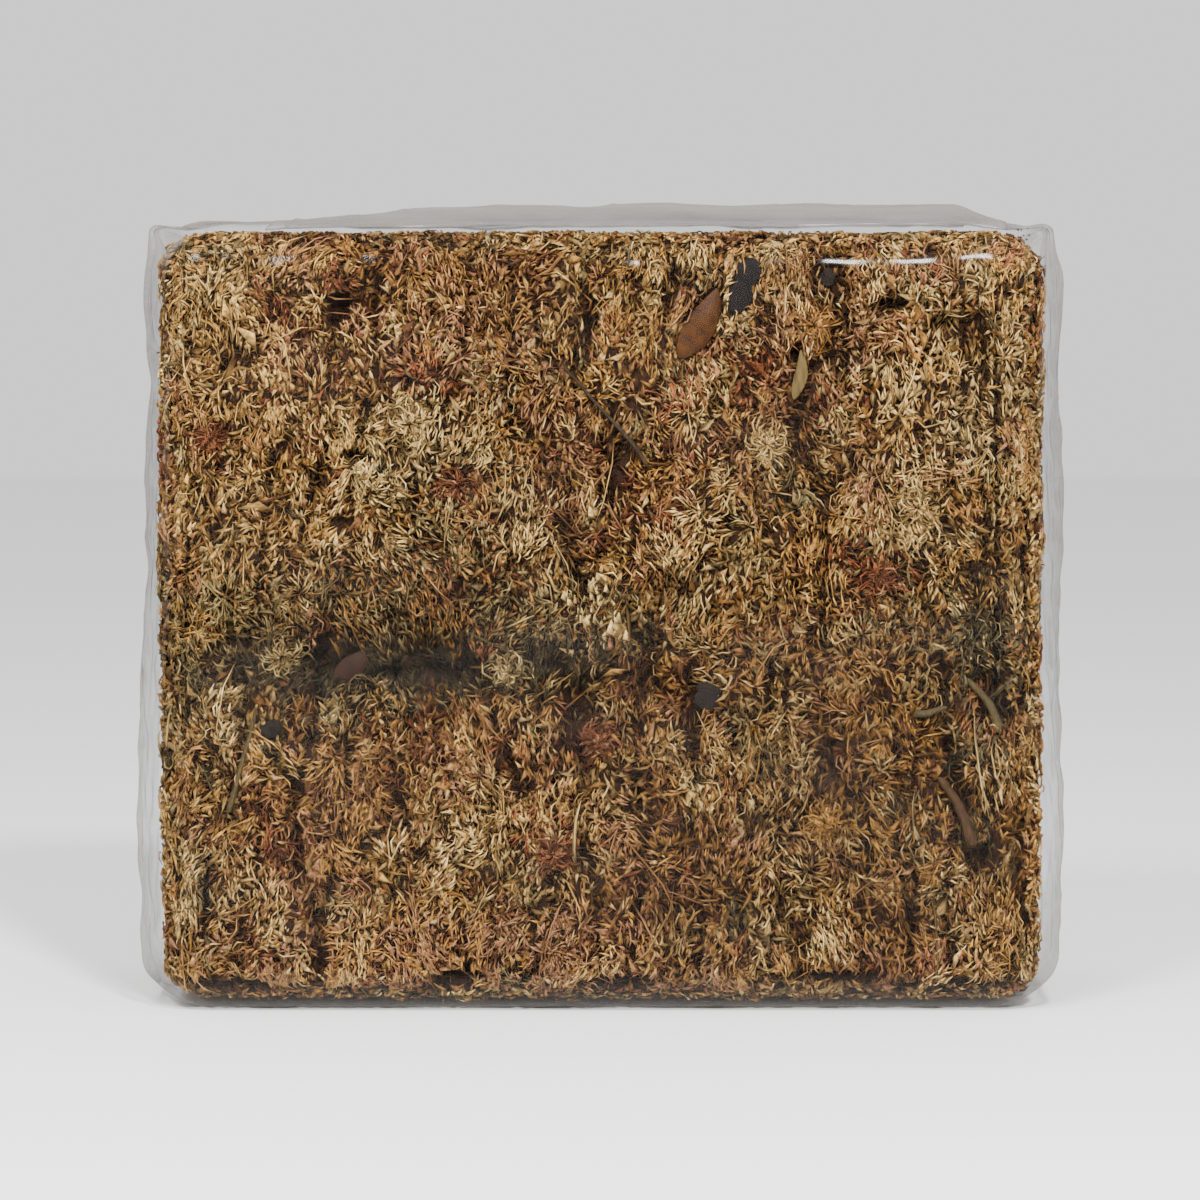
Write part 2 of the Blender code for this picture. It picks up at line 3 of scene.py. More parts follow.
import bpy
import numpy as np
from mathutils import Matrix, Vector


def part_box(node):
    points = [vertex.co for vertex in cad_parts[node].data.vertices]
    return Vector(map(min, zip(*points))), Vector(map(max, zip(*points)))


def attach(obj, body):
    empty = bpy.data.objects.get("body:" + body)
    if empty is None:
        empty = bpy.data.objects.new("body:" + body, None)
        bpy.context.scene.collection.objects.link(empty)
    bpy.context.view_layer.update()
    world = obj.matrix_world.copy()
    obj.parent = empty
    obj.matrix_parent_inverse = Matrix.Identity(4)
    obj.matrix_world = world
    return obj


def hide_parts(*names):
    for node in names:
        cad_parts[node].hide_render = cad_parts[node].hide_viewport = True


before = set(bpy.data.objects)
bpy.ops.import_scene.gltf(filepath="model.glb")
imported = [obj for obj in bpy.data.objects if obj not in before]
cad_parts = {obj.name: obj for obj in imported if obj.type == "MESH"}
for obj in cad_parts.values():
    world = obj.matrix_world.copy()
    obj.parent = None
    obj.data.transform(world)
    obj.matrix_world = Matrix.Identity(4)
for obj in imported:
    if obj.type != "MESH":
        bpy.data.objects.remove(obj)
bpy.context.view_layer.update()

# The moss envelope: its half sizes, the radii of its edges, its gap to the floor and the swell of its faces
MOSS_HALF = np.array((0.1118, 0.0443, 0.0980))
MOSS_EDGE = np.array((0.012, 0.012, 0.011))
MOSS_FLOOR = 0.0008
MOSS_MIDDLE = np.array((0.0, 0.0, MOSS_HALF[2] + MOSS_FLOOR))
SWELL_Y = 0.0035
SWELL_X = 0.0015

# The film bag: its half sizes, the radii of its edges and of its ears, and how far the ears are flattened
BAG_HALF = np.array((0.1160, 0.0455, 0.0990))
BAG_EDGE = np.array((0.018, 0.012, 0.014))
EAR_EDGE = 0.006
EAR_FLATTEN = 0.72

# The flap over the top: its ends, its rows from back to hem in shares of the bag's half depth, their rise,
# the thickness of its film, and how far its left and right edges are drawn in
FLAP_SPAN = (-0.084, 0.102)
FLAP_REACH = (0.84, 0.52, 0.10, -0.36, -0.66, -0.88)
FLAP_RISE = (0.0002, 0.0012, 0.0030, 0.0042, 0.0030, 0.0007)
FLAP_FILM = 0.0004
FLAP_TAPER_LEFT, FLAP_TAPER_RIGHT = 0.020, 0.006

# Where a colour lies along the moss palette, and what it is
BARK, UMBER, RED, MAUVE, TAN, OCHRE, STRAW, CREAM, SAGE, OLIVE = (
    0.02, 0.11, 0.20, 0.30, 0.39, 0.49, 0.60, 0.73, 0.86, 0.97,
)
PALETTE = (
    (BARK, (0.020, 0.009, 0.004)),
    (UMBER, (0.120, 0.046, 0.017)),
    (RED, (0.250, 0.078, 0.029)),
    (MAUVE, (0.330, 0.168, 0.084)),
    (TAN, (0.420, 0.211, 0.071)),
    (OCHRE, (0.480, 0.249, 0.052)),
    (STRAW, (0.540, 0.334, 0.105)),
    (CREAM, (0.680, 0.475, 0.189)),
    (SAGE, (0.290, 0.220, 0.093)),
    (OLIVE, (0.085, 0.068, 0.034)),
)

# The share of the moss whose colour lies below each palette place, browns first and greens last
HUE_SHARES = (0.0, 0.03, 0.08, 0.27, 0.50, 0.60, 0.84, 0.97, 1.0)
HUE_PLACES = (UMBER, RED, MAUVE, TAN, OCHRE, STRAW, CREAM, SAGE, OLIVE)


def mesh_of(name, points, faces, material, uv=None, replaced=None):
    """A smooth mesh from points and from faces of one size, riding on the brick in place of a plain node."""
    points = np.ascontiguousarray(points, dtype=np.float32)
    faces = np.ascontiguousarray(faces, dtype=np.int32)
    count, size = faces.shape
    mesh = bpy.data.meshes.new(name)
    mesh.vertices.add(len(points))
    mesh.vertices.foreach_set("co", points.ravel())
    mesh.loops.add(count * size)
    mesh.loops.foreach_set("vertex_index", faces.ravel())
    mesh.polygons.add(count)
    mesh.polygons.foreach_set("loop_start", np.arange(0, count * size, size, dtype=np.int32))
    mesh.update(calc_edges=True)
    if uv is not None:
        layer = mesh.uv_layers.new(name="OFBake")
        layer.uv.foreach_set("vector", np.ascontiguousarray(uv[faces.ravel()], dtype=np.float32).ravel())
    mesh.shade_smooth()
    mesh.materials.append(material)
    made = bpy.data.objects.new(name, mesh)
    bpy.context.scene.collection.objects.link(made)
    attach(made, "root")
    if replaced:
        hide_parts(replaced)
    return made


def soft_step(t):
    """0 below 0, 1 above 1, with a soft step between."""
    t = np.clip(t, 0.0, 1.0)
    return t * t * (3 - 2 * t)


def unit(vectors):
    """The vectors at length 1."""
    return vectors / np.maximum(np.linalg.norm(vectors, axis=-1, keepdims=True), 1e-12)


# The sines summed in each octave of the noise, and how much weaker each octave is than the one before
WAVES = 5
OCTAVE_FADE = 0.55


def wavy(points, size, seed, octaves=3):
    """Smooth noise between about -1 and 1: sines along random directions, summed and finer in each octave."""
    rng = np.random.default_rng(seed)
    total = np.zeros(len(points))
    weight = 0.0
    for octave in range(octaves):
        for _ in range(WAVES):
            way = unit(rng.normal(size=points.shape[1]))
            stretch = 2 ** octave * rng.uniform(0.7, 1.4) * 2 * np.pi / size
            total += OCTAVE_FADE ** octave * np.sin(points @ way * stretch + rng.uniform(0, 2 * np.pi))
        weight += OCTAVE_FADE ** octave
    return total / (weight * WAVES ** 0.5) * 0.8


# The moss envelope


def swell(shares, half):
    """How much points at these shares of the half sizes swell along X and Y, most at the middle of a face."""
    u, v, w = np.minimum(1.0, np.abs(shares)).T
    along_x = 1 + SWELL_X / half[0] * (1 - v * v) * (1 - w * w)
    along_y = 1 + SWELL_Y / half[1] * (1 - u * u) * (1 - w * w)
    return np.stack((along_x, along_y, np.ones_like(u)), axis=1)


def rounded_box(at, half, edge):
    """A swollen box with elliptic edges: its points for points of the cube from -1 to 1, and the ways out."""
    flat = at * half
    inner = np.clip(flat, edge - half, half - edge)
    out = unit((flat - inner) / edge)
    return (inner + edge * out) * swell(at, half), unit(out / edge)


def envelope(at):
    """Points of the moss envelope for points of the cube, and the ways out."""
    points, out = rounded_box(at, MOSS_HALF, MOSS_EDGE)
    return points + MOSS_MIDDLE, out


def held_inside(points, room):
    """The points, drawn into the moss envelope so that each lies at least room below it."""
    local = points - MOSS_MIDDLE
    grown = swell(local / MOSS_HALF, MOSS_HALF)
    local = local / grown
    inner = np.clip(local, MOSS_EDGE - MOSS_HALF, MOSS_HALF - MOSS_EDGE)
    edge = MOSS_EDGE - np.asarray(room).reshape(-1, 1)
    out = (local - inner) / edge
    far = np.maximum(np.linalg.norm(out, axis=1, keepdims=True), 1.0)
    return (inner + edge * out / far) * grown + MOSS_MIDDLE


# The axis and side of each face of the brick, and the axes across and up it
FACES = {
    "front": (1, -1, 0, 2),
    "back": (1, 1, 0, 2),
    "left": (0, -1, 1, 2),
    "right": (0, 1, 1, 2),
    "top": (2, 1, 0, 1),
    "bottom": (2, -1, 0, 1),
}


def cube_points(face, s, t):
    """Points on a face of the cube, s across and t up it, in shares from -1 to 1."""
    axis, side, first, second = FACES[face]
    at = np.empty((len(s), 3))
    at[:, axis] = side
    at[:, first] = s
    at[:, second] = t
    return at


def turned(degrees):
    """Across and up parts of the upright direction turned clockwise in the plane of the front face."""
    angle = np.radians(degrees)
    return np.sin(angle), np.cos(angle)


# Litter on the front face: place across and up, turn from upright in degrees, half length, half width
LITTER = {
    "amber_leaf": (0.0243, 0.1731, 29, 0.0088, 0.0036),
    "brown_leaf": (-0.0625, 0.0883, 50, 0.0050, 0.0026),
    "straw_blade": (0.0490, 0.1603, 8, 0.0056, 0.0016),
    "bark_flake_1": (0.0356, 0.1830, 18, 0.0070, 0.0024),
    "peat_flake_1": (0.0265, 0.0800, 10, 0.0030, 0.0026),
    "peat_flake_2": (0.0564, 0.1845, 30, 0.0019, 0.0015),
    "peat_flake_3": (-0.0828, 0.0715, 60, 0.0026, 0.0017),
    "brown_twig": (0.0892, 0.0508, -27, 0.0094, 0.0011),
    "heath_needle_1": (0.0959, 0.0777, -31, 0.0072, 0.0008),
    "heath_needle_2": (0.0825, 0.0765, 80, 0.0036, 0.0006),
    "dark_stem": (0.0010, 0.1495, -40, 0.0150, 0.0003),
    "olive_stem": (-0.0905, 0.0640, 15, 0.0128, 0.0005),
}

# The bed pressed into the moss under each piece of litter: its depth and margin, and how it fades out
LITTER_ROOM = 0.0024
LITTER_MARGIN = 0.0002
LITTER_FADE_END, LITTER_FADE_RATE = 2.6, 2.0

# Hollows in the front face, darker by the painted shade of deep shoots: place across and up, turn, half
# length, half width, depth
HOLLOWS = (
    (-0.0660, 0.1765, 10, 0.0034, 0.0022, 0.0050),
    (-0.0030, 0.1735, 5, 0.0060, 0.0015, 0.0045),
    (0.0720, 0.1780, 90, 0.0036, 0.0018, 0.0045),
    (0.0570, 0.1895, 90, 0.0026, 0.0012, 0.0040),
    (0.0480, 0.1660, 0, 0.0022, 0.0020, 0.0040),
    (0.0840, 0.1730, 100, 0.0030, 0.0014, 0.0040),
    (0.0180, 0.1855, -20, 0.0040, 0.0016, 0.0040),
    (-0.0620, 0.1400, 80, 0.0026, 0.0016, 0.0038),
    (0.0025, 0.1330, 2, 0.0080, 0.0012, 0.0040),
    (0.0080, 0.1180, 4, 0.0060, 0.0010, 0.0034),
    (-0.0250, 0.1240, 0, 0.0016, 0.0016, 0.0040),
    (0.0420, 0.0830, 0, 0.0070, 0.0010, 0.0034),
    (0.0985, 0.0790, -25, 0.0050, 0.0012, 0.0040),
    (0.0990, 0.1000, 0, 0.0220, 0.0009, 0.0034),
    (0.0985, 0.1500, 0, 0.0260, 0.0008, 0.0030),
    (0.0500, 0.0480, 40, 0.0040, 0.0014, 0.0040),
    (-0.0760, 0.0895, 80, 0.0060, 0.0016, 0.0034),
    (-0.0540, 0.0860, 92, 0.0050, 0.0014, 0.0032),
    (-0.0400, 0.0868, 98, 0.0040, 0.0014, 0.0032),
    (-0.0729, 0.0693, -25, 0.0026, 0.0012, 0.0045),
    (-0.1000, 0.0250, 4, 0.0120, 0.0010, 0.0036),
    (-0.1050, 0.1050, 2, 0.0180, 0.0008, 0.0030),
    (-0.0720, 0.1300, 12, 0.0110, 0.0009, 0.0034),
    (-0.0762, 0.0040, 94.6, 0.0330, 0.0016, 0.0060),
    (-0.0364, 0.0075, 90, 0.0055, 0.0028, 0.0060),
    (0.0046, 0.0065, 88, 0.0075, 0.0016, 0.0055),
    (0.0580, 0.0080, 90, 0.0095, 0.0018, 0.0055),
    (0.0892, 0.0046, 86, 0.0155, 0.0015, 0.0055),
    (0.0946, 0.0387, 30, 0.0036, 0.0024, 0.0040),
)
HOLLOW_FADE_END = 1.7


def spot_reach(x, z, spot, margin):
    """How far out each place lies from a turned oval spot: 0 at its middle, 1 on its rim."""
    cx, cz, turn, half_length, half_width = spot
    across, up = turned(turn)
    along = ((x - cx) * across + (z - cz) * up) / (half_length + margin)
    aside = ((x - cx) * up - (z - cz) * across) / (half_width + margin)
    return np.hypot(along, aside)


def front_room(x, z):
    """How far the front's moss sinks at these places: full under litter and in hollows, 0 away from them."""
    depth = np.zeros_like(x)
    for spot in LITTER.values():
        reach = spot_reach(x, z, spot, LITTER_MARGIN)
        depth = np.maximum(depth, LITTER_ROOM * soft_step(LITTER_FADE_END - LITTER_FADE_RATE * reach))
    for *spot, deep in HOLLOWS:
        depth = np.maximum(depth, deep * soft_step(HOLLOW_FADE_END - spot_reach(x, z, spot, 0.0)))
    return depth


# Upright clefts and round pits in the pressed moss: their sizes and depths, and the width of a cleft
CLEFT_SIZE, CLEFT_DEPTH, CLEFT_WIDTH = 0.022, 0.0026, 0.16
PIT_SIZE, PIT_DEPTH = 0.0085, 0.0016


def cleft_depth(points):
    """How deep the moss dips: narrow upright clefts where a stretched noise crosses 0, and small pits."""
    cleft = soft_step(1 - np.abs(wavy(points * (1.0, 0.4, 0.2), CLEFT_SIZE, 61, 2)) / CLEFT_WIDTH)
    pits = soft_step(1.5 * wavy(points * (1.0, 1.0, 0.6), PIT_SIZE, 62, 2) - 0.25)
    return CLEFT_DEPTH * cleft + PIT_DEPTH * pits


# Patches of colour on the front: place across and up, half width and height, palette place, share coloured
PATCHES = (
    (-0.0600, 0.0950, 0.0500, 0.0120, SAGE, 0.60),
    (-0.0640, 0.0880, 0.0270, 0.0060, OLIVE, 0.90),
    (-0.0250, 0.0890, 0.0200, 0.0060, OLIVE, 0.65),
    (0.0960, 0.0800, 0.0100, 0.0300, OLIVE, 0.35),
    (-0.0330, 0.1150, 0.0150, 0.0100, SAGE, 0.40),
    (0.0700, 0.1100, 0.0100, 0.0120, SAGE, 0.35),
    (-0.0360, 0.1640, 0.0200, 0.0140, MAUVE, 0.45),
    (-0.0430, 0.1590, 0.0060, 0.0050, RED, 0.55),
    (0.0550, 0.1700, 0.0100, 0.0120, MAUVE, 0.60),
    (0.0540, 0.1520, 0.0050, 0.0050, RED, 0.50),
    (0.0670, 0.1150, 0.0070, 0.0070, RED, 0.40),
    (-0.0130, 0.0420, 0.0060, 0.0080, RED, 0.60),
    (-0.0050, 0.0690, 0.0060, 0.0060, RED, 0.45),
    (0.0250, 0.0440, 0.0080, 0.0060, OCHRE, 0.70),
    (0.0800, 0.0560, 0.0240, 0.0180, OCHRE, 0.35),
    (-0.0180, 0.0170, 0.0140, 0.0080, MAUVE, 0.55),
    (0.0830, 0.1640, 0.0240, 0.0280, CREAM, 0.45),
    (-0.0850, 0.1500, 0.0260, 0.0330, STRAW, 0.45),
    (-0.0500, 0.1450, 0.0080, 0.0100, CREAM, 0.70),
    (-0.0440, 0.1500, 0.0060, 0.0060, CREAM, 0.70),
    (-0.0200, 0.1240, 0.0070, 0.0110, CREAM, 0.60),
    (0.0750, 0.1190, 0.0070, 0.0040, CREAM, 0.85),
    (-0.0350, 0.0520, 0.0200, 0.0080, STRAW, 0.50),
    (0.0358, 0.1615, 0.0045, 0.0028, RED, 0.80),
    (0.0330, 0.1680, 0.0050, 0.0020, RED, 0.60),
    (0.0280, 0.1580, 0.0070, 0.0040, CREAM, 0.75),
    (-0.0400, 0.0120, 0.0900, 0.0110, MAUVE, 0.30),
)
PATCH_FADE_END = 1.7

# Lighter and darker parts of the front: place across and up, half width and height, change of tone
SHADES = (
    (-0.0850, 0.1650, 0.0360, 0.0300, 0.10),
    (0.0850, 0.1740, 0.0340, 0.0260, 0.20),
    (-0.0450, 0.0120, 0.0900, 0.0120, 0.32),
    (0.0600, 0.0420, 0.0500, 0.0300, -0.18),
    (0.0700, 0.1000, 0.0400, 0.0300, -0.08),
    (-0.0420, 0.0900, 0.0640, 0.0150, -0.18),
    (-0.0600, 0.0880, 0.0280, 0.0070, -0.26),
)
SHADE_FADE_END = 1.6

# The moss colours drift in clumps of one size and, more weakly, over broad parts of the brick
HUE_CLUMP, HUE_CLUMP_WEIGHT = 0.013, 0.9
HUE_DRIFT, HUE_DRIFT_WEIGHT = 0.06, 0.5


def moss_hues(points, front, rng):
    """The palette place of each spot: soft noise, ranked and read through the shares, then the patches."""
    field = HUE_CLUMP_WEIGHT * wavy(points, HUE_CLUMP, 71, 2)
    field = field + HUE_DRIFT_WEIGHT * wavy(points, HUE_DRIFT, 72, 2)
    field = field + rng.normal(0, 0.36, len(points))
    rank = np.empty(len(points))
    rank[np.argsort(field)] = np.linspace(0, 1, len(points))
    hue = np.interp(rank, HUE_SHARES, HUE_PLACES)
    if front:
        x, z = points[:, 0], points[:, 2]
        for cx, cz, half_width, half_height, tint, share in PATCHES:
            reach = np.hypot((x - cx) / half_width, (z - cz) / half_height)
            chosen = rng.random(len(points)) < share * soft_step(PATCH_FADE_END - reach)
            hue = np.where(chosen, tint, hue)
    return hue


def front_tone(tone, base):
    """The tone of shoots on the front, changed by each broad shade that they lie in, with wavy rims."""
    x = base[:, 0] + 0.006 * wavy(base, 0.028, 82, 2)
    z = base[:, 2] + 0.006 * wavy(base, 0.028, 83, 2)
    for cx, cz, half_width, half_height, change in SHADES:
        reach = np.hypot((x - cx) / half_width, (z - cz) / half_height)
        tone = tone * (1 + change * soft_step(SHADE_FADE_END - reach))
    return tone


# Shoots


def blades(root, middle, tip, width, out):
    """Closed blades from root to tip, widest and raised at the middle: 4 points and 4 faces each."""
    side = unit(np.cross(unit(tip - root), out)) * width[:, None]
    ridge = middle + 0.4 * unit(np.cross(side, tip - root)) * width[:, None]
    points = np.stack((root, ridge - side, ridge + side, tip), axis=1)
    return points, np.array(((0, 2, 1), (3, 1, 2), (0, 1, 3), (0, 3, 2)))


def bent_shoots(root, low, high, tip, width, out):
    """Closed three-sided shoots through two bends: 8 points and 12 faces each."""
    rings = []
    for centre, along, wide in ((low, high - root, width), (high, tip - low, 0.85 * width)):
        side = unit(np.cross(along, out)) * wide[:, None]
        rise = unit(np.cross(side, unit(along))) * wide[:, None]
        rings += [centre + 0.9 * rise, centre - 0.5 * rise - side, centre - 0.5 * rise + side]
    points = np.stack((root, *rings, tip), axis=1)
    pattern = []
    for i in range(3):
        after = (i + 1) % 3
        pattern += [(0, 1 + after, 1 + i), (1 + i, 1 + after, 4 + after), (1 + i, 4 + after, 4 + i)]
        pattern += [(4 + i, 4 + after, 7)]
    return points, np.array(pattern)


# Where the points of a shoot of 4 or 8 points lie from its root to its tip, and aside on the palette
SHOOT_STEPS = {4: (0.0, 0.50, 0.42, 1.0), 8: (0.0, 0.36, 0.24, 0.30, 0.76, 0.64, 0.70, 1.0)}
SHOOT_DRIFT = {4: (0, -1, 1, 0), 8: (0, 0, -1, 1, 0, -1, 1, 0)}
DRIFT_STEP = 0.005
PALETTE_ENDS = (0.01, 0.99)

# The tone of a shoot's root and of its tip, in shares of its own: the root is painted darker, as painted
# shade
SHADED_ROOT_TONE, TIP_TONE = 0.36, 1.05


def palette_uv(tint, low_tone, high_tone, rows):
    """Palette places for the points of each shoot: tint across, and tone up from its root to its tip."""
    u = tint[:, None] + DRIFT_STEP * np.array(SHOOT_DRIFT[rows])
    v = low_tone[:, None] + (high_tone - low_tone)[:, None] * np.array(SHOOT_STEPS[rows])
    return np.clip(np.stack((u, v), axis=2), *PALETTE_ENDS)


def grown_shoots(base, out, way, length, width, curl, depth, dip, hue, tone, bent):
    """Shoots whose middles lie depth below the envelope points base, run along way and bow aside by curl.

    The root lies dip below the middle and the tip a third of dip below it. All are drawn into the envelope.
    """
    aside = np.cross(out, way)
    start = base - way * (0.5 * length)[:, None]
    room = 1.2 * width

    def at(share, bow, sink, room):
        """Points at a share of the length, bowed aside by bow curls, sunk, and held room inside."""
        place = start + way * (share * length)[:, None] + aside * (bow * curl)[:, None] - out * sink[:, None]
        return held_inside(place, room)

    root = at(0.0, 0.0, depth + dip, room)
    tip = at(1.0, 0.0, depth + 0.33 * dip, 0.6 * width)
    if bent:
        low, high = at(0.30, 0.85, depth, room), at(0.72, 0.80, depth, room)
        points, pattern = bent_shoots(root, low, high, tip, width, out)
    else:
        points, pattern = blades(root, at(0.5, 1.0, depth, room), tip, width, out)
    # Painted shade: each shoot's root, deep among the others, is painted darker than its tip
    return points, pattern, palette_uv(hue, SHADED_ROOT_TONE * tone, TIP_TONE * tone, points.shape[1])


def join(batches):
    """Points, faces and palette places of several batches of shoots as one mesh's."""
    points, faces, places = [], [], []
    offset = 0
    for batch_points, pattern, uv in batches:
        count, rows, _ = batch_points.shape
        starts = offset + rows * np.arange(count)
        faces.append((starts[:, None, None] + pattern).reshape(-1, 3))
        points.append(batch_points.reshape(-1, 3))
        places.append(uv.reshape(-1, 2))
        offset += count * rows
    return np.concatenate(points), np.concatenate(faces), np.concatenate(places)


# The kinds of clump, the share of each, and the faces whose moss has a grain
LOCK, FAN, HEAD = 0, 1, 2
KIND_SHARES = (0.45, 0.33, 0.22)
GRAINED = ("front", "back", "top")

# The even bed below the clumps: its share of the straight and of the bent shoots, its depths and its tone,
# which is darker as painted shade under the clumps, and how much longer its shoots are
BED_SHARE, BENT_BED_SHARE = 0.42, 0.08
BED_DEPTHS = (0.0012, 0.0032)
BED_SHADE_TONE = 0.76
BED_LENGTH = 1.3

# The half widths of the shoots in the bed and over it, and how much wider they are off the front
BED_WIDTHS = (0.00030, 0.00056)
CLUMP_WIDTHS = (0.00014, 0.00030)
WIDER_OFF_FRONT = 1.5

# How much longer bent shoots are, the share of them that trail and how long, and the curl of straight ones
BENT_LENGTH = 1.35
TRAILING_SHARE, TRAILING_LENGTH = 0.04, 3.0
STRAIGHT_CURL = 0.4

# How far a clump falls off to its rim, how fast shoots are painted darker, as painted shade, for each metre
# below the lit depth, and the darkest and the lightest tone
RIM_FALL = 0.0020
LIT_DEPTH = 0.0010
DEPTH_SHADE_RATE = 170.0
TONES = (0.08, 0.97)


def half_sizes(face):
    """The half sizes of the moss across and up a face."""
    return MOSS_HALF[list(FACES[face][2:])]


def lay_clumps(face, cell, rng):
    """Clumps on a jittered grid of cells over one face, with what the shoots of each clump share."""
    half = half_sizes(face)
    cells = np.round(2 * half / cell).astype(int)
    columns, rows = np.meshgrid(np.arange(cells[0]), np.arange(cells[1]), indexing="ij")
    grid = np.stack((columns, rows), axis=-1).reshape(-1, 2)
    centre = ((grid + rng.uniform(0, 1, grid.shape)) / cells * 2 - 1) * half
    count = len(centre)
    wander = 0.45 if face in GRAINED else 1.2
    clumps = {
        "centre": centre,
        "radius": cell * rng.uniform(0.55, 1.15, count),
        "kind": rng.choice((LOCK, FAN, HEAD), count, p=KIND_SHARES),
        "turn": rng.normal(0, wander, count) + rng.choice((0.0, np.pi), count),
        "bow": rng.normal(0, 0.30, count),
        "crown": rng.gamma(2.0, 0.00045, count),
        "brighter": rng.normal(0.0, 0.12, count),
    }
    at = centre / half
    place, _ = envelope(cube_points(face, at[:, 0], at[:, 1]))
    clumps["hue"] = moss_hues(place, face == "front", rng)
    return clumps


def scatter(clumps, half, total, bent, rng):
    """Shoots over one face: the clump and heading of each, whether it is in the bed, how far out, and where.

    A lock's shoots run side by side, a fan's spread from one end, and a head's from its middle.
    The place is in shares of the half sizes. Shoots that would lie past the rim are left out.
    """
    centre, radius, kind, turn = (clumps[key] for key in ("centre", "radius", "kind", "turn"))
    pick = rng.choice(len(radius), total, p=radius ** 2 / np.sum(radius ** 2))
    size, is_kind = radius[pick], kind[pick]
    in_bed = rng.random(total) < (BENT_BED_SHARE if bent else BED_SHARE)
    lock_spread = rng.normal(0, 0.20, total)
    fan_spread = rng.uniform(-0.9, 0.9, total)
    head_spread = rng.uniform(-np.pi, np.pi, total)
    spread = np.choose(is_kind, (lock_spread, fan_spread, head_spread))
    far = np.sqrt(rng.random(total))
    lock_across = rng.uniform(-0.75, 0.75, total)
    lock_along = rng.uniform(-1.2, 1.2, total)
    along = size * np.choose(is_kind, (lock_along, 1.7 * far * np.cos(spread) - 0.8, far * np.cos(spread)))
    across = size * np.choose(is_kind, (lock_across, 1.7 * far * np.sin(spread), far * np.sin(spread)))
    heading = turn[pick] + spread + rng.normal(0, 0.16, total)
    heading = np.where(in_bed, rng.normal(0, 0.9, total) + turn[pick], heading)
    ahead = np.stack((np.sin(turn[pick]), np.cos(turn[pick])), axis=1)
    beside = np.stack((np.cos(turn[pick]), -np.sin(turn[pick])), axis=1)
    spot = centre[pick] + along[:, None] * ahead + across[:, None] * beside
    spot = np.where(in_bed[:, None], rng.uniform(-1, 1, (total, 2)) * half, spot)
    shares = spot / half
    inside = np.all(np.abs(shares) < 1, axis=1)
    return pick[inside], heading[inside], in_bed[inside], far[inside], shares[inside]


def shoots_of(face, clumps, total, bent, rng):
    """Straight or bent shoots over one face, which share the curl, hue and tone of their clump.

    They lie deeper towards a clump's rim, in clefts and under litter, and are painted darker the deeper they
    lie, as painted shade.
    """
    front = face == "front"
    pick, heading, in_bed, far, shares = scatter(clumps, half_sizes(face), total, bent, rng)
    rimmed = np.where(clumps["kind"][pick] == LOCK, 0.3, 1.0) * far ** 2
    total = len(pick)
    base, out = envelope(cube_points(face, shares[:, 0], shares[:, 1]))
    first, second = FACES[face][2:]
    way = np.zeros((total, 3))
    way[:, first], way[:, second] = np.sin(heading), np.cos(heading)
    way = unit(way - out * np.sum(way * out, axis=1, keepdims=True))
    depth = clumps["crown"][pick] + RIM_FALL * rimmed + rng.gamma(1.5, 0.00025, total)
    depth = np.where(in_bed, rng.uniform(*BED_DEPTHS, total), depth)
    if face in GRAINED:
        depth = depth + cleft_depth(base)
    if front:
        depth = depth + front_room(base[:, 0], base[:, 2])
    length = rng.gamma(8.0, 0.00040, total) * (BENT_LENGTH if bent else 1.0)
    length = np.where(in_bed, BED_LENGTH * length, length)
    curl = length * (clumps["bow"][pick] + rng.normal(0, 0.12, total)) * (1.0 if bent else STRAIGHT_CURL)
    length = np.where(bent & (rng.random(total) < TRAILING_SHARE), TRAILING_LENGTH * length, length)
    width = np.where(in_bed, rng.uniform(*BED_WIDTHS, total), rng.uniform(*CLUMP_WIDTHS, total))
    width = width * (1.0 if front else WIDER_OFF_FRONT)
    own = moss_hues(base, front, rng)
    stray = rng.random(total) < 0.22
    hue = np.where(in_bed | stray, own, clumps["hue"][pick]) + rng.normal(0, 0.018, total)
    tone = 0.80 + clumps["brighter"][pick] + rng.normal(0, 0.16, total)
    # Painted shade: shoots below the lit depth are painted darker for each metre that they lie deeper
    tone = tone - DEPTH_SHADE_RATE * np.maximum(depth - LIT_DEPTH, 0)
    # Painted shade: the bed's shoots are painted darker under the clumps
    tone = tone * (1 + 0.16 * wavy(base * (1.0, 1.0, 0.4), 0.030, 81, 2)) * np.where(in_bed, BED_SHADE_TONE, 1.0)
    if front:
        tone = front_tone(tone, base)
    tone = np.clip(tone, *TONES)
    dip = rng.uniform(0.0006, 0.0020, total)
    return grown_shoots(base, out, way, length, width, curl, depth, dip, hue, tone, bent)


def lay_shoots(face, straight, bent, cell, seed):
    """The straight and then the bent shoots over one face of the brick, on the same clumps."""
    rng = np.random.default_rng(seed)
    clumps = lay_clumps(face, cell, rng)
    return [shoots_of(face, clumps, straight, False, rng), shoots_of(face, clumps, bent, True, rng)]


# Materials


def fill(made, values):
    """Puts values into the inputs of a node."""
    for name, value in values.items():
        made.inputs[name].default_value = value


def node(tree, kind, values=None, **settings):
    """A new node of a kind, with its settings and the values of its inputs."""
    made = tree.nodes.new(kind)
    for key, value in settings.items():
        setattr(made, key, value)
    fill(made, values or {})
    return made


def new_material(name):
    """An empty material, its node tree and its shader."""
    made = bpy.data.materials.new(name)
    made.use_nodes = True
    tree = made.node_tree
    return made, tree, tree.nodes["Principled BSDF"]


def span(tree, source, low, high, to_low, to_high):
    """A value carried from one range to another and held there."""
    ends = {"From Min": low, "From Max": high, "To Min": to_low, "To Max": to_high}
    made = node(tree, "ShaderNodeMapRange", ends)
    tree.links.new(source, made.inputs["Value"])
    return made.outputs["Result"]


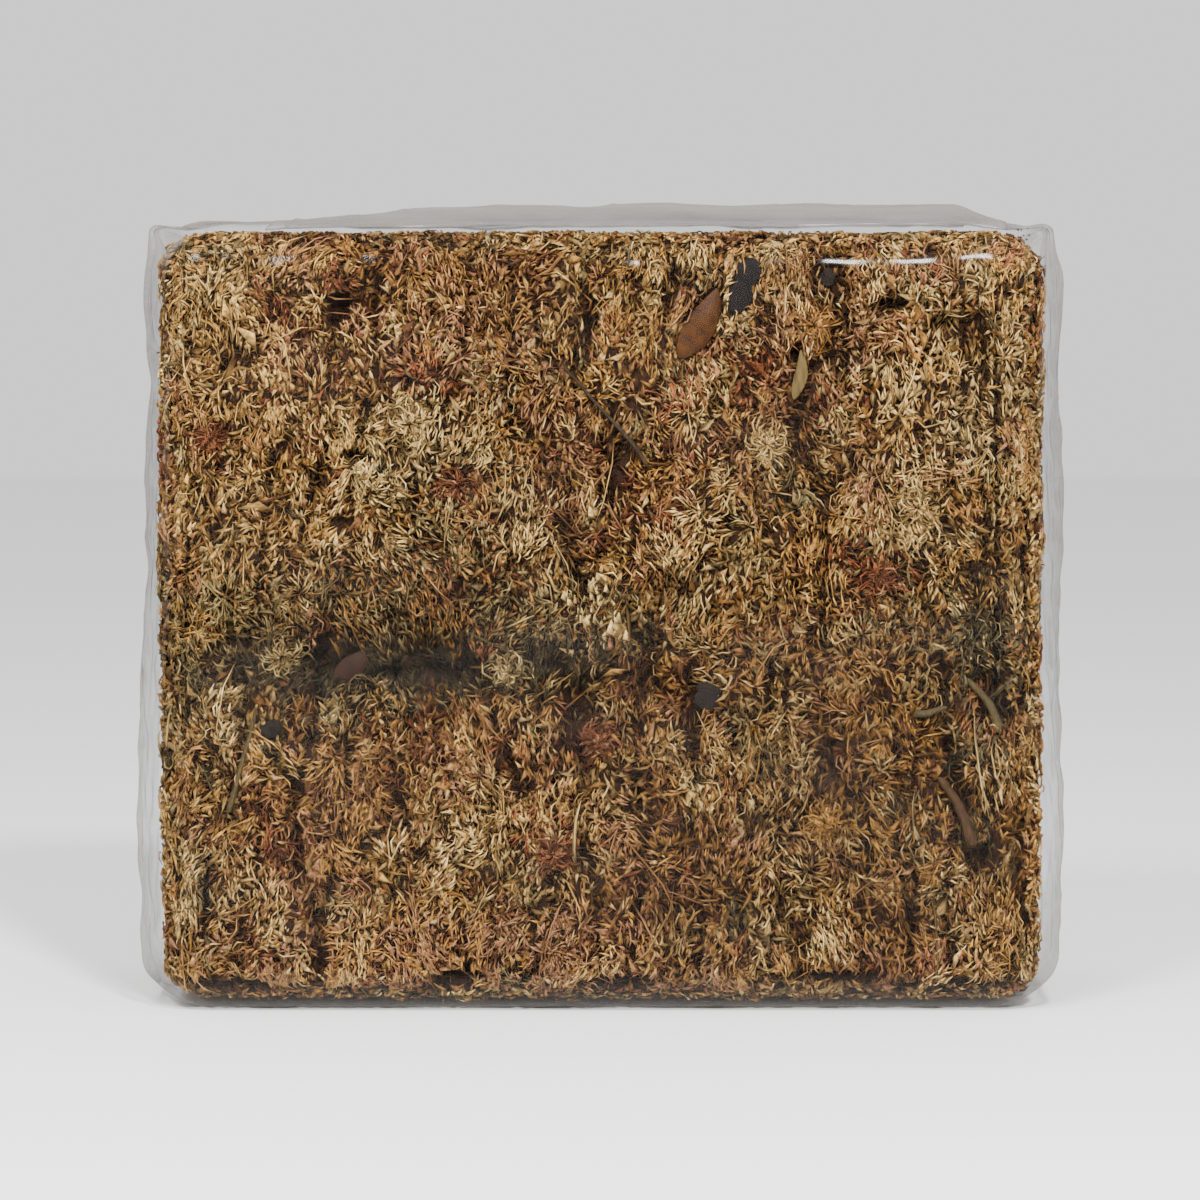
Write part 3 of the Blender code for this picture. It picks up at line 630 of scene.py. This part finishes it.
def powered(tree, source, power):
    """A value raised to a power."""
    made = node(tree, "ShaderNodeMath", {1: power}, operation="POWER")
    tree.links.new(source, made.inputs[0])
    return made.outputs["Value"]


def joined(tree, first, second, operation):
    """Two values added or multiplied, held between 0 and 1 when added."""
    made = node(tree, "ShaderNodeMath", operation=operation, use_clamp=operation == "ADD")
    tree.links.new(first, made.inputs[0])
    tree.links.new(second, made.inputs[1])
    return made.outputs["Value"]


def stretched_noise(tree, place, stretch, values, **settings):
    """Noise at places that are scaled first, so that it is finer along one axis than along another."""
    scaled = node(tree, "ShaderNodeMapping", {"Scale": stretch})
    tree.links.new(place, scaled.inputs["Vector"])
    made = node(tree, "ShaderNodeTexNoise", values, **settings)
    tree.links.new(scaled.outputs["Vector"], made.inputs["Vector"])
    return made.outputs["Fac"]


# The moss colour: the scale of its streaks across and up the palette, the power and range of its tone, the
# range of its streaks, and the power of each channel, which makes dark moss redder
STREAK_STRETCH = (420.0, 9.0, 1.0)
TONE_POWER = 1.7
TONE_RANGE = (0.020, 1.42)
STREAK_RANGE = (0.35, 1.55)
CHANNEL_POWERS = {"Red": 1.0, "Green": 1.10, "Blue": 1.22}


def moss_material():
    """Dried moss: the palette read across its map for the hue and up it for the tone with its painted shade,
    redder where dark.
    """
    made, tree, shader = new_material("dried_moss")
    place = node(tree, "ShaderNodeUVMap", uv_map="OFBake").outputs["UV"]
    split = node(tree, "ShaderNodeSeparateXYZ")
    tree.links.new(place, split.inputs["Vector"])
    ramp = node(tree, "ShaderNodeValToRGB")
    for i, (where, colour) in enumerate(PALETTE):
        stop = ramp.color_ramp.elements[i] if i < 2 else ramp.color_ramp.elements.new(where)
        stop.position = where
        stop.color = (*colour, 1.0)
    tree.links.new(split.outputs["X"], ramp.inputs["Fac"])
    fine = {"Scale": 1.0, "Detail": 3.0}
    streak = stretched_noise(tree, place, STREAK_STRETCH, fine, noise_dimensions="2D")
    tone = span(tree, powered(tree, split.outputs["Y"], TONE_POWER), 0.0, 1.0, *TONE_RANGE)
    strength = joined(tree, tone, span(tree, streak, 0.28, 0.72, *STREAK_RANGE), "MULTIPLY")
    strengths = node(tree, "ShaderNodeCombineColor")
    for channel, power in CHANNEL_POWERS.items():
        tree.links.new(powered(tree, strength, power), strengths.inputs[channel])
    shaded = node(tree, "ShaderNodeMix", {"Factor": 1.0}, data_type="RGBA", blend_type="MULTIPLY")
    tree.links.new(ramp.outputs["Color"], shaded.inputs["A"])
    tree.links.new(strengths.outputs["Color"], shaded.inputs["B"])
    tree.links.new(shaded.outputs["Result"], shader.inputs["Base Color"])
    fill(shader, {"Roughness": 0.8, "Specular IOR Level": 0.08})
    return made


def mottled_material(name, colours, size, roughness, stretch=(1.0, 1.0, 1.0), grain=0.0003):
    """Dry leaf, bark, peat or packed moss, the last near black as painted shade: two colours mottled through
    it, raised by grain as a bump.
    """
    made, tree, shader = new_material(name)
    place = node(tree, "ShaderNodeTexCoord").outputs["Object"]
    mottle = stretched_noise(tree, place, stretch, {"Scale": 1.0 / size, "Detail": 6.0, "Roughness": 0.7})
    ramp = node(tree, "ShaderNodeValToRGB")
    for stop, where, colour in zip(ramp.color_ramp.elements, (0.32, 0.68), colours):
        stop.position = where
        stop.color = (*colour, 1)
    tree.links.new(mottle, ramp.inputs["Fac"])
    tree.links.new(ramp.outputs["Color"], shader.inputs["Base Color"])
    bump = node(tree, "ShaderNodeBump", {"Distance": grain, "Strength": 0.6})
    tree.links.new(mottle, bump.inputs["Height"])
    tree.links.new(bump.outputs["Normal"], shader.inputs["Normal"])
    fill(shader, {"Roughness": roughness, "Specular IOR Level": 0.1})
    return made


# The film: the colour of its haze, the scale of its clouds, its haze where it is seen aslant, the heights
# between which its low haze fades out, and the refraction, the most gloss and the roughness of its skin
HAZE = (0.19, 0.175, 0.16, 1)
CLOUD_STRETCH = (0.45, 1.0, 1.0)
ASLANT_HAZE = 0.85
LOW_HAZE_HEIGHTS = (0.0035, 0.011)
FILM_REFRACTION = 1.30
FILM_GLOSS = 0.22
FILM_ROUGHNESS = 0.10


def film_material(name, veil, cloud_veil, low_veil):
    """Clear polythene: even and cloudy haze, more of it aslant and near the floor, under a glossy skin."""
    made, tree, shader = new_material(name)
    place = node(tree, "ShaderNodeTexCoord").outputs["Object"]
    cloud = stretched_noise(tree, place, CLOUD_STRETCH, {"Scale": 45.0, "Detail": 5.0})
    clouded = span(tree, cloud, 0.42, 0.72, veil, veil + cloud_veil)
    aslant = node(tree, "ShaderNodeLayerWeight", {"Blend": 0.25})
    milky = span(tree, aslant.outputs["Facing"], 0.25, 0.95, 0.0, ASLANT_HAZE)
    split = node(tree, "ShaderNodeSeparateXYZ")
    tree.links.new(place, split.inputs["Vector"])
    low = span(tree, split.outputs["Z"], *LOW_HAZE_HEIGHTS, low_veil, 0.0)
    alpha = joined(tree, joined(tree, clouded, milky, "ADD"), low, "ADD")
    fill(shader, {"Base Color": HAZE, "Roughness": 0.5, "Specular IOR Level": 0.0})
    tree.links.new(alpha, shader.inputs["Alpha"])
    gloss = node(tree, "ShaderNodeBsdfAnisotropic", {"Roughness": FILM_ROUGHNESS, "Color": (1, 1, 1, 1)})
    edge = node(tree, "ShaderNodeFresnel", {"IOR": FILM_REFRACTION})
    mix = node(tree, "ShaderNodeMixShader")
    tree.links.new(span(tree, edge.outputs["Fac"], 0.0, 1.0, 0.0, FILM_GLOSS), mix.inputs["Fac"])
    tree.links.new(shader.outputs["BSDF"], mix.inputs[1])
    tree.links.new(gloss.outputs["BSDF"], mix.inputs[2])
    tree.links.new(mix.outputs["Shader"], tree.nodes["Material Output"].inputs["Surface"])
    return made


# Closed boxes


def rim_lines(count, towards_rim):
    """Grid places from -1 to 1, drawn towards the ends by a sine."""
    even = np.linspace(-1, 1, count + 1)
    return (1 - towards_rim) * even + towards_rim * np.sin(even * np.pi / 2)


def grid_quads(wide, high):
    """The quads of a grid of points that is laid row by row."""
    low = (np.arange(high - 1)[:, None] * wide + np.arange(wide - 1)).ravel()
    return np.stack((low, low + 1, low + 1 + wide, low + wide), axis=1)


def sewn_box(name, counts, towards_rim, shape, material, replaced):
    """A closed box of six grids sewn at their rims, each point of the cube moved by shape."""
    places, corners, offset = [], [], 0
    for face, (_, _, first, second) in FACES.items():
        s, t = rim_lines(counts[first], towards_rim), rim_lines(counts[second], towards_rim)
        grid_s, grid_t = np.meshgrid(s, t)
        places.append(cube_points(face, grid_s.ravel(), grid_t.ravel()))
        quads = offset + grid_quads(len(s), len(t))
        corners.append(quads if face in ("front", "right", "top") else quads[:, ::-1])
        offset += len(grid_s.ravel())
    at, faces = np.concatenate(places), np.concatenate(corners)
    _, keep, back = np.unique(np.round(at, 9), axis=0, return_index=True, return_inverse=True)
    mesh_of(name, shape(at[keep]), back.ravel()[faces], material, replaced=replaced)


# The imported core: how deep it lies below the envelope, and how deep and wide its unevenness is
CORE_DEPTH = 0.0030
CORE_UNEVEN, CORE_UNEVEN_SIZE = 0.0005, 0.008


def sunk_envelope(at):
    """The moss envelope sunk by about 3 mm, and further where the shoots on it dip."""
    points, out = envelope(at)
    sunk = CORE_DEPTH + cleft_depth(points) + CORE_UNEVEN * wavy(points, CORE_UNEVEN_SIZE, 5)
    sunk = sunk + np.where(at[:, 1] < -0.999, front_room(points[:, 0], points[:, 2]), 0)
    return points - out * sunk[:, None]


# Heads and litter


def face_frames(side, x, z):
    """Envelope point and way out on the front (-1) or back (1) for places across and up."""
    at = np.stack((x / MOSS_HALF[0], np.full_like(x, side), (z - MOSS_FLOOR) / MOSS_HALF[2] - 1), axis=1)
    return envelope(at)


# Rounds of shoots in a head: how many, where they start and end in shares of the radius, and their depth.
# Then their usual tone, the darkest and the lightest, and how fast they are painted darker, as painted shade,
# for each metre of depth.
HEAD_ROUNDS = ((95, 0.35, 1.05, 0.0014), (64, 0.15, 0.75, 0.0007), (36, 0.02, 0.42, 0.0003))
HEAD_TONE = 0.68
HEAD_TONES = (0.12, 0.98)
HEAD_DEPTH_SHADE_RATE = 140


def moss_head(name, tint, x, z, radius, seed, material):
    """A moss head: rounds of shoots that curl out of one heart, the inner ones shorter and higher."""
    rng = np.random.default_rng(seed)
    side = 1 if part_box(name)[0][1] > 0 else -1
    heart, out = face_frames(side, np.array([x]), np.array([z]))
    batches = []
    for count, inner, outer, sink in HEAD_ROUNDS:
        angle = rng.uniform(0, 2 * np.pi, count)
        way = np.stack((np.sin(angle), np.zeros(count), np.cos(angle)), axis=1)
        away = radius * outer * rng.uniform(0.50, 1.40, count)
        near = radius * inner * rng.uniform(0.6, 1.2, count)
        middle = np.repeat(heart, count, axis=0) + way * (0.5 * (near + away))[:, None]
        length = away - near + 0.0006
        width = rng.uniform(0.00022, 0.00040, count)
        curl = length * rng.normal(0.05, 0.36, count)
        depth = sink + rng.gamma(1.5, 0.0003, count)
        dip = rng.uniform(0.0012, 0.0022, count)
        hue = tint + rng.normal(0, 0.050, count)
        # Painted shade: head shoots are painted darker the deeper they lie
        tone = np.clip(rng.normal(HEAD_TONE, 0.18, count) - HEAD_DEPTH_SHADE_RATE * depth, *HEAD_TONES)
        outs = np.repeat(out, count, axis=0)
        batches.append(grown_shoots(middle, outs, way, length, width, curl, depth, dip, hue, tone, True))
    points, faces, uv = join(batches)
    mesh_of(f"{name}_shoots", points, faces, material, uv, replaced=name)


def loft(name, line, half_width, half_depth, bow, around, material, replaced):
    """A closed tube of oval rings along a line. bow lifts each ring's middle over its margins."""
    spine, aside, out = line
    angle = np.linspace(0, 2 * np.pi, around, endpoint=False)
    across, high = np.cos(angle), np.sin(angle)
    rings = spine[:, None, :] + aside[:, None, :] * (half_width[:, None] * across)[:, :, None]
    rise = half_depth[:, None] * high + bow[:, None] * (1 - across ** 2)
    rings = rings + out[:, None, :] * rise[:, :, None]
    count = len(spine)
    ring, step = np.meshgrid(np.arange(count - 1), np.arange(around), indexing="ij")
    low, low_next = ring * around + step, ring * around + (step + 1) % around
    quads = np.stack((low, low + around, low_next + around, low_next), axis=-1).reshape(-1, 4)
    first, last = count * around, count * around + 1
    points = np.concatenate((rings.reshape(-1, 3), rings[:1].mean(1), rings[-1:].mean(1)))
    steps = np.arange(around)
    nexts = (steps + 1) % around
    tail = (count - 1) * around
    start_cap = np.stack((np.full(around, first), steps, nexts), axis=1)
    end_cap = np.stack((np.full(around, last), tail + nexts, tail + steps), axis=1)
    triangles = np.concatenate((quads[:, (0, 1, 2)], quads[:, (0, 2, 3)], start_cap, end_cap))
    mesh_of(name, points, triangles, material, replaced=replaced)


def on_front(replaced, length, steps, depth, wander=0.0, seed=0):
    """The line of a piece of litter on the front: shares from -1 to 1, and its points, ways aside and out."""
    x, z, turn = LITTER[replaced][:3]
    across, up = turned(turn)
    t = np.linspace(-1, 1, steps)
    bend = wander * (1 - t * t) + 0.35 * wander * np.sin(3.1 * t + seed)
    along_x = x + 0.5 * length * t * across + bend * up
    along_z = z + 0.5 * length * t * up - bend * across
    points, out = face_frames(-1, along_x, along_z)
    points = points - out * depth
    aside = unit(np.cross(out, unit(np.gradient(points, axis=0))))
    return t, (points, aside, out)


# The least half width of leaves and flakes, at their tips
TIP_WIDTH = 0.0001


def dry_leaf(replaced, length, width, depth, curl, material):
    """A dry leaf: pointed at both ends, raised along its veins, with its margin rolled and nicked."""
    t, line = on_front(replaced, length, 46, depth, 0.0006, 1)
    full = np.sin(np.pi * (0.5 * t + 0.5) ** 0.85)
    nicks = 1 - 0.10 * np.abs(np.sin(17 * t + 0.6)) * (np.abs(t) < 0.9)
    half_width = 0.5 * width * full ** 0.8 * nicks + TIP_WIDTH
    half_depth = 0.00022 + 0.00012 * np.abs(np.sin(24 * t)) * full
    bow = curl * full * (1 + 0.3 * np.sin(4 * t))
    loft(f"{replaced}_blade", line, half_width, half_depth, bow, 20, material, replaced)


def broken_flake(replaced, half_length, half_width, depth, seed, material):
    """A flake of bark or peat: a low plate with blunt ends, uneven in its width and thickness."""
    rng = np.random.default_rng(seed)
    t, line = on_front(replaced, 2 * half_length, 26, depth, 0.0, seed)
    full = np.clip(1.25 * (1 - np.abs(t) ** 2.6), 0, 1) ** 0.5
    uneven_width = half_width * full * (1 + 0.22 * wavy(t[:, None], 0.9, seed)) + TIP_WIDTH
    half_depth = 0.00050 * (0.4 + 0.6 * full) * rng.uniform(0.7, 1.2, len(t))
    loft(f"{replaced}_scrap", line, uneven_width, half_depth, 0.0002 * full, 14, material, replaced)


def stalk(replaced, length, radius, depth, wander, seed, material):
    """A twig, needle or stem: a tapering wandering tube with knots and rounded ends."""
    t, line = on_front(replaced, length, 40, depth, wander, seed)
    knots = 1 + 0.22 * np.maximum(0, np.sin(9 * t + seed)) ** 6 + 0.05 * wavy(t[:, None], 0.2, seed)
    thick = radius * (1 - 0.28 * t) * knots * np.sqrt(np.clip(1 - np.abs(t) ** 14, 0.02, 1))
    loft(f"{replaced}_bark", line, thick, thick, 0 * t, 10, material, replaced)


moss = moss_material()
# The packed core is coloured near black: painted shade in the deep gaps between the shoots
core_shade = mottled_material(
    "packed_moss_shade", ((0.004, 0.0015, 0.001), (0.030, 0.012, 0.005)), 0.0008, 0.9, (1.0, 1.0, 0.6)
)
sewn_box("packed_core", (120, 48, 104), 0.4, sunk_envelope, core_shade, "moss_block")

# Straight and bent shoots, size of a clump's cell, pieces and seed for each face of the brick
COVER = {
    "front": (56000, 17000, 0.0066, 3, 101),
    "back": (20000, 5000, 0.0068, 1, 202),
    "left": (9500, 2200, 0.0068, 1, 303),
    "right": (9500, 2200, 0.0068, 1, 404),
    "top": (9500, 2200, 0.0068, 1, 505),
    "bottom": (7000, 300, 0.0075, 1, 606),
}
for face, (straight, bent, cell, pieces, seed) in COVER.items():
    batches = lay_shoots(face, straight, bent, cell, seed)
    for piece in range(pieces):
        cut = [(points[piece::pieces], pattern, uv[piece::pieces]) for points, pattern, uv in batches]
        points, faces, uv = join(cut)
        mesh_of(f"moss_{face}_{piece + 1}", points, faces, moss, uv, replaced="moss_block")

# Heads of another colour: name, palette place, place across and up, radius
HEADS = (
    ("red_head_1", RED, -0.0360, 0.1323, 0.0056),
    ("red_head_2", RED, -0.0974, 0.1440, 0.0046),
    ("red_head_3", RED + 0.03, -0.0005, 0.0685, 0.0050),
    ("red_head_4", RED, 0.0690, 0.1100, 0.0050),
    ("red_head_5", RED, -0.0450, 0.1200, 0.0056),
    ("ochre_head_1", TAN + 0.04, 0.0528, 0.1726, 0.0056),
    ("ochre_head_2", RED + 0.04, -0.0122, 0.0400, 0.0060),
    ("ochre_head_3", OCHRE, 0.0560, 0.0480, 0.0052),
    ("ochre_head_4", OCHRE, 0.0150, 0.0620, 0.0056),
    ("pale_head_1", CREAM, -0.0480, 0.1480, 0.0060),
    ("pale_head_2", CREAM, 0.0790, 0.1270, 0.0062),
    ("pale_head_3", CREAM - 0.03, 0.0410, 0.1430, 0.0052),
    ("pale_head_4", CREAM, 0.0380, 0.1450, 0.0060),
    ("grey_head_1", SAGE - 0.03, -0.0800, 0.0900, 0.0060),
    ("grey_head_2", SAGE - 0.03, -0.0230, 0.0860, 0.0052),
    ("grey_head_3", SAGE - 0.03, -0.0700, 0.0600, 0.0056),
)
for i, (name, tint, x, z, radius) in enumerate(HEADS):
    moss_head(name, tint, x, z, radius, 700 + i, moss)

# Skins of the litter: dark and light colour, size of the mottling, roughness, and the mottling's stretch
ALONG = (3.0, 3.0, 0.6)
amber = mottled_material("amber_leaf_skin", ((0.009, 0.003, 0.0006), (0.060, 0.020, 0.002)), 0.003, 0.50)
brown = mottled_material("brown_leaf_skin", ((0.006, 0.002, 0.0006), (0.026, 0.008, 0.002)), 0.003, 0.55)
straw = mottled_material("straw_skin", ((0.040, 0.026, 0.009), (0.115, 0.075, 0.024)), 0.003, 0.5, ALONG)
bark = mottled_material(
    "bark_skin", ((0.002, 0.0015, 0.0015), (0.010, 0.007, 0.006)), 0.002, 0.80, grain=0.0006
)
peat = mottled_material("peat_skin", ((0.003, 0.002, 0.0015), (0.016, 0.011, 0.008)), 0.002, 0.85)
twig = mottled_material("twig_skin", ((0.012, 0.006, 0.002), (0.055, 0.026, 0.009)), 0.002, 0.5, ALONG)
needle = mottled_material("needle_skin", ((0.020, 0.014, 0.005), (0.070, 0.050, 0.018)), 0.002, 0.5, ALONG)
stem = mottled_material("stem_skin", ((0.008, 0.005, 0.003), (0.036, 0.022, 0.011)), 0.002, 0.6)

# Leaves: length, width, depth and curl
dry_leaf("amber_leaf", 0.0200, 0.0082, 0.0018, 0.0007, amber)
dry_leaf("brown_leaf", 0.0112, 0.0058, 0.0017, 0.0006, brown)
dry_leaf("straw_blade", 0.0125, 0.0034, 0.0018, 0.0003, straw)

# Flakes: half length, half width, depth and seed
broken_flake("bark_flake_1", 0.0080, 0.0029, 0.0022, 3, bark)
broken_flake("peat_flake_1", 0.0034, 0.0030, 0.0020, 4, peat)
broken_flake("peat_flake_2", 0.0022, 0.0018, 0.0020, 5, peat)
broken_flake("peat_flake_3", 0.0030, 0.0020, 0.0020, 6, peat)

# Stalks: length, radius, depth, wander and seed
stalk("brown_twig", 0.0200, 0.00125, 0.0017, 0.0008, 1, twig)
stalk("heath_needle_1", 0.0160, 0.00095, 0.0014, 0.0009, 2, needle)
stalk("heath_needle_2", 0.0082, 0.00075, 0.0013, 0.0005, 3, needle)
stalk("dark_stem", 0.0330, 0.00045, 0.0010, 0.0012, 4, stem)
stalk("olive_stem", 0.0280, 0.00060, 0.0012, 0.0011, 5, needle)


# The film bag


# Where an ear starts, as a distance from the middle of the moss's corner in radii of its edge, and its spread
EAR_START, EAR_SPREAD = 1.25, 0.45


def ear_pinch(at):
    """1 at the three corners where the bag stands off the moss as a flat ear, 0 where moss lies behind it."""
    over = np.maximum(0, np.abs(at) * BAG_HALF - MOSS_HALF + MOSS_EDGE) / MOSS_EDGE
    pinch = soft_step((np.hypot(over[:, 0], over[:, 2]) - EAR_START) / EAR_SPREAD)
    return np.where((at[:, 0] > 0) & (at[:, 2] < 0), 0.0, pinch)


# How far the left and right ends are drawn in, and the depths of the film's slack, creases, rucks and bulges
DRAWN_LEFT, DRAWN_RIGHT = 0.0022, 0.0008
SLACK = 0.0003
WAVE, CREASE, RUCK, BULGE = 0.0004, 0.0004, 0.0005, 0.0007


def bag_shape(at):
    """The bag: a swollen box with rounded edges and flat ears, drawn in at its ends, waved and creased."""
    pinch = ear_pinch(at)
    edge = np.repeat(BAG_EDGE[None, :], len(at), axis=0)
    edge[:, 0] = edge[:, 0] * (1 - pinch) + EAR_EDGE * pinch
    edge[:, 2] = edge[:, 2] * (1 - pinch) + EAR_EDGE * pinch
    points, normal = rounded_box(at, BAG_HALF, edge)
    near_end = soft_step((np.abs(at[:, 0]) - 0.86) / 0.12)
    calm = soft_step((at[:, 2] + 1) / 0.12)
    drawn_left = DRAWN_LEFT * soft_step((at[:, 2] + 0.18) / 0.35)
    drawn = np.where(at[:, 0] < 0, drawn_left, DRAWN_RIGHT) * near_end * (1 - pinch)
    points[:, 0] -= np.sign(at[:, 0]) * drawn
    slack = SLACK + WAVE * wavy(points, 0.045, 41)
    crease = np.clip(1 - np.abs(wavy(points * (1.0, 1.0, 0.6), 0.030, 42, 2)), 0, 1) ** 4
    ruck = near_end * wavy(points * (1, 1, 2.0), 0.028, 44, 2)
    bulge = near_end * wavy(points * (0, 0.2, 1.0), 0.050, 46, 1)
    raised = (slack + CREASE * crease + RUCK * ruck + BULGE * bulge) * calm
    points = points + normal * raised[:, None]
    points[:, 1] *= 1 - EAR_FLATTEN * pinch
    return points + (0, 0, BAG_HALF[2])


# The folds of the flap, the fine unevenness of its height, and how far its hem wavers
FOLD, UNEVEN, HEM_WAVER = 0.0005, 0.0002, 0.0012


def film_flap(material):
    """The back of the mouth folded forward: a sheet that follows the bag's top, raised, folded and waved."""
    across = np.linspace(0, 1, 90)
    along = np.linspace(0, 1, 34)
    u, v = np.meshgrid(across, along)
    u, v = u.ravel(), v.ravel()
    reach = np.interp(v, np.linspace(0, 1, len(FLAP_REACH)), FLAP_REACH)
    rise = np.interp(v, np.linspace(0, 1, len(FLAP_RISE)), FLAP_RISE)
    left = FLAP_SPAN[0] + FLAP_TAPER_LEFT * soft_step((v - 0.1) / 0.5) * (1 - v)
    right = FLAP_SPAN[1] - FLAP_TAPER_RIGHT * (1 - v)
    x = left + (right - left) * u
    points = bag_shape(np.stack((x / BAG_HALF[0], reach, np.ones_like(u)), axis=1))
    hem = soft_step((v - 0.86) / 0.1)
    ends = soft_step(u / 0.26) * soft_step((1 - u) / 0.06)
    folds = wavy(points * (0.35, 1.6, 0.0), 0.022, 51, 2) * (1 - hem)
    uneven = wavy(points, 0.03, 52, 2)
    points[:, 2] += 0.0002 + rise * (0.10 + 0.90 * ends) + FOLD * folds + UNEVEN * uneven
    points[:, 1] += HEM_WAVER * hem * wavy(points * (1, 0, 0), 0.06, 53, 2)
    faces = grid_quads(len(across), len(along))[:, (0, 3, 2, 1)]
    flap = mesh_of("film_flap", points, faces, material, replaced="film_bag")
    skin = flap.modifiers.new("Film", "SOLIDIFY")
    skin.thickness = FLAP_FILM
    skin.offset = -1


film = film_material("clear_polythene", 0.0, 0.02, 0.10)
folded_film = film_material("folded_polythene", 0.10, 0.24, 0.0)
sewn_box("film_sheet", (100, 28, 86), 0.45, bag_shape, film, "film_bag")
film_flap(folded_film)

# Crumbs of peat in the upper ears: place across and up, spread, how many. Then how far forward they lie.
CRUMBS = ((-0.1018, 0.1940, 0.0028, 7), (0.1075, 0.1955, 0.0034, 12), (0.1125, 0.1885, 0.0024, 4))
CRUMB_Y = -0.0105


def peat_crumbs(material):
    """Crumbs caught in the ears: small uneven eight-sided grains at random places round each spot."""
    rng = np.random.default_rng(88)
    corners = np.array(((1, 0, 0), (0, 1, 0), (-1, 0, 0), (0, -1, 0), (0, 0, 1), (0, 0, -1)), dtype=float)
    sides = np.array(((0, 1, 4), (1, 2, 4), (2, 3, 4), (3, 0, 4), (1, 0, 5), (2, 1, 5), (3, 2, 5), (0, 3, 5)))
    points, faces = [], []
    for x, z, spread, count in CRUMBS:
        for _ in range(count):
            middle = np.array((rng.normal(x, spread * 0.5), CRUMB_Y, rng.normal(z, spread * 0.4)))
            faces.append(sides + 6 * len(points))
            points.append(middle + corners * rng.uniform(0.00015, 0.00055, (6, 1)))
    mesh_of("peat_crumbs", np.concatenate(points), np.concatenate(faces), material)


peat_crumbs(bark)


# Floor, lights and camera


def aimed(made, place, aim):
    """Puts a light or the camera at a place and turns it to look at a point."""
    made.location = place
    made.rotation_euler = (Vector(aim) - Vector(place)).to_track_quat("-Z", "Y").to_euler()
    bpy.context.scene.collection.objects.link(made)


def area_light(name, place, size, power):
    """A square lamp that shines at the middle of the brick."""
    data = bpy.data.lights.new(name, "AREA")
    data.shape = "RECTANGLE"
    data.size = data.size_y = size
    data.energy = power
    aimed(bpy.data.objects.new(name, data), place, (0, 0, 0.10))


# The floor: its half width, and how far it lies below the brick
FLOOR_HALF = 3
FLOOR_Z = -0.0002


def set_stage():
    """A wide pale floor, a pale room, a key light from the upper left and a small one for the glint."""
    data = bpy.data.meshes.new("floor")
    corners = ((-1, -1), (1, -1), (1, 1), (-1, 1))
    data.from_pydata([(FLOOR_HALF * x, FLOOR_HALF * y, FLOOR_Z) for x, y in corners], [], [(0, 1, 2, 3)])
    floor = bpy.data.objects.new("floor", data)
    bpy.context.scene.collection.objects.link(floor)
    made, _, shader = new_material("pale_floor")
    fill(shader, {"Base Color": (0.90, 0.90, 0.90, 1), "Roughness": 0.8})
    data.materials.append(made)
    world = bpy.data.worlds.new("pale_room")
    world.use_nodes = True
    fill(world.node_tree.nodes["Background"], {"Color": (1, 1, 1, 1), "Strength": 1.15})
    bpy.context.scene.world = world
    area_light("key", (-0.40, -0.85, 0.95), 0.30, 18)
    area_light("glint_right", (0.20, -0.85, 0.80), 0.12, 22)


# The camera: its tilt in degrees, the point it looks at and how far off, its sensor, and how wide the view is
# at which distance
CAMERA_TILT = 4.0
CAMERA_AIM = Vector((-0.0003, 0, 0.1010))
CAMERA_FAR = 1.25
SENSOR = 36.0
VIEW_WIDTH, VIEW_DISTANCE = 0.2985, 1.2


def set_camera():
    """A long lens a little above the middle of the broad face."""
    data = bpy.data.cameras.new("camera")
    made = bpy.data.objects.new("camera", data)
    tilt = np.radians(CAMERA_TILT)
    aimed(made, CAMERA_AIM + Vector((0, -np.cos(tilt), np.sin(tilt))) * CAMERA_FAR, CAMERA_AIM)
    data.sensor_width = SENSOR
    data.lens = SENSOR * VIEW_DISTANCE / VIEW_WIDTH
    bpy.context.scene.camera = made


set_stage()
set_camera()
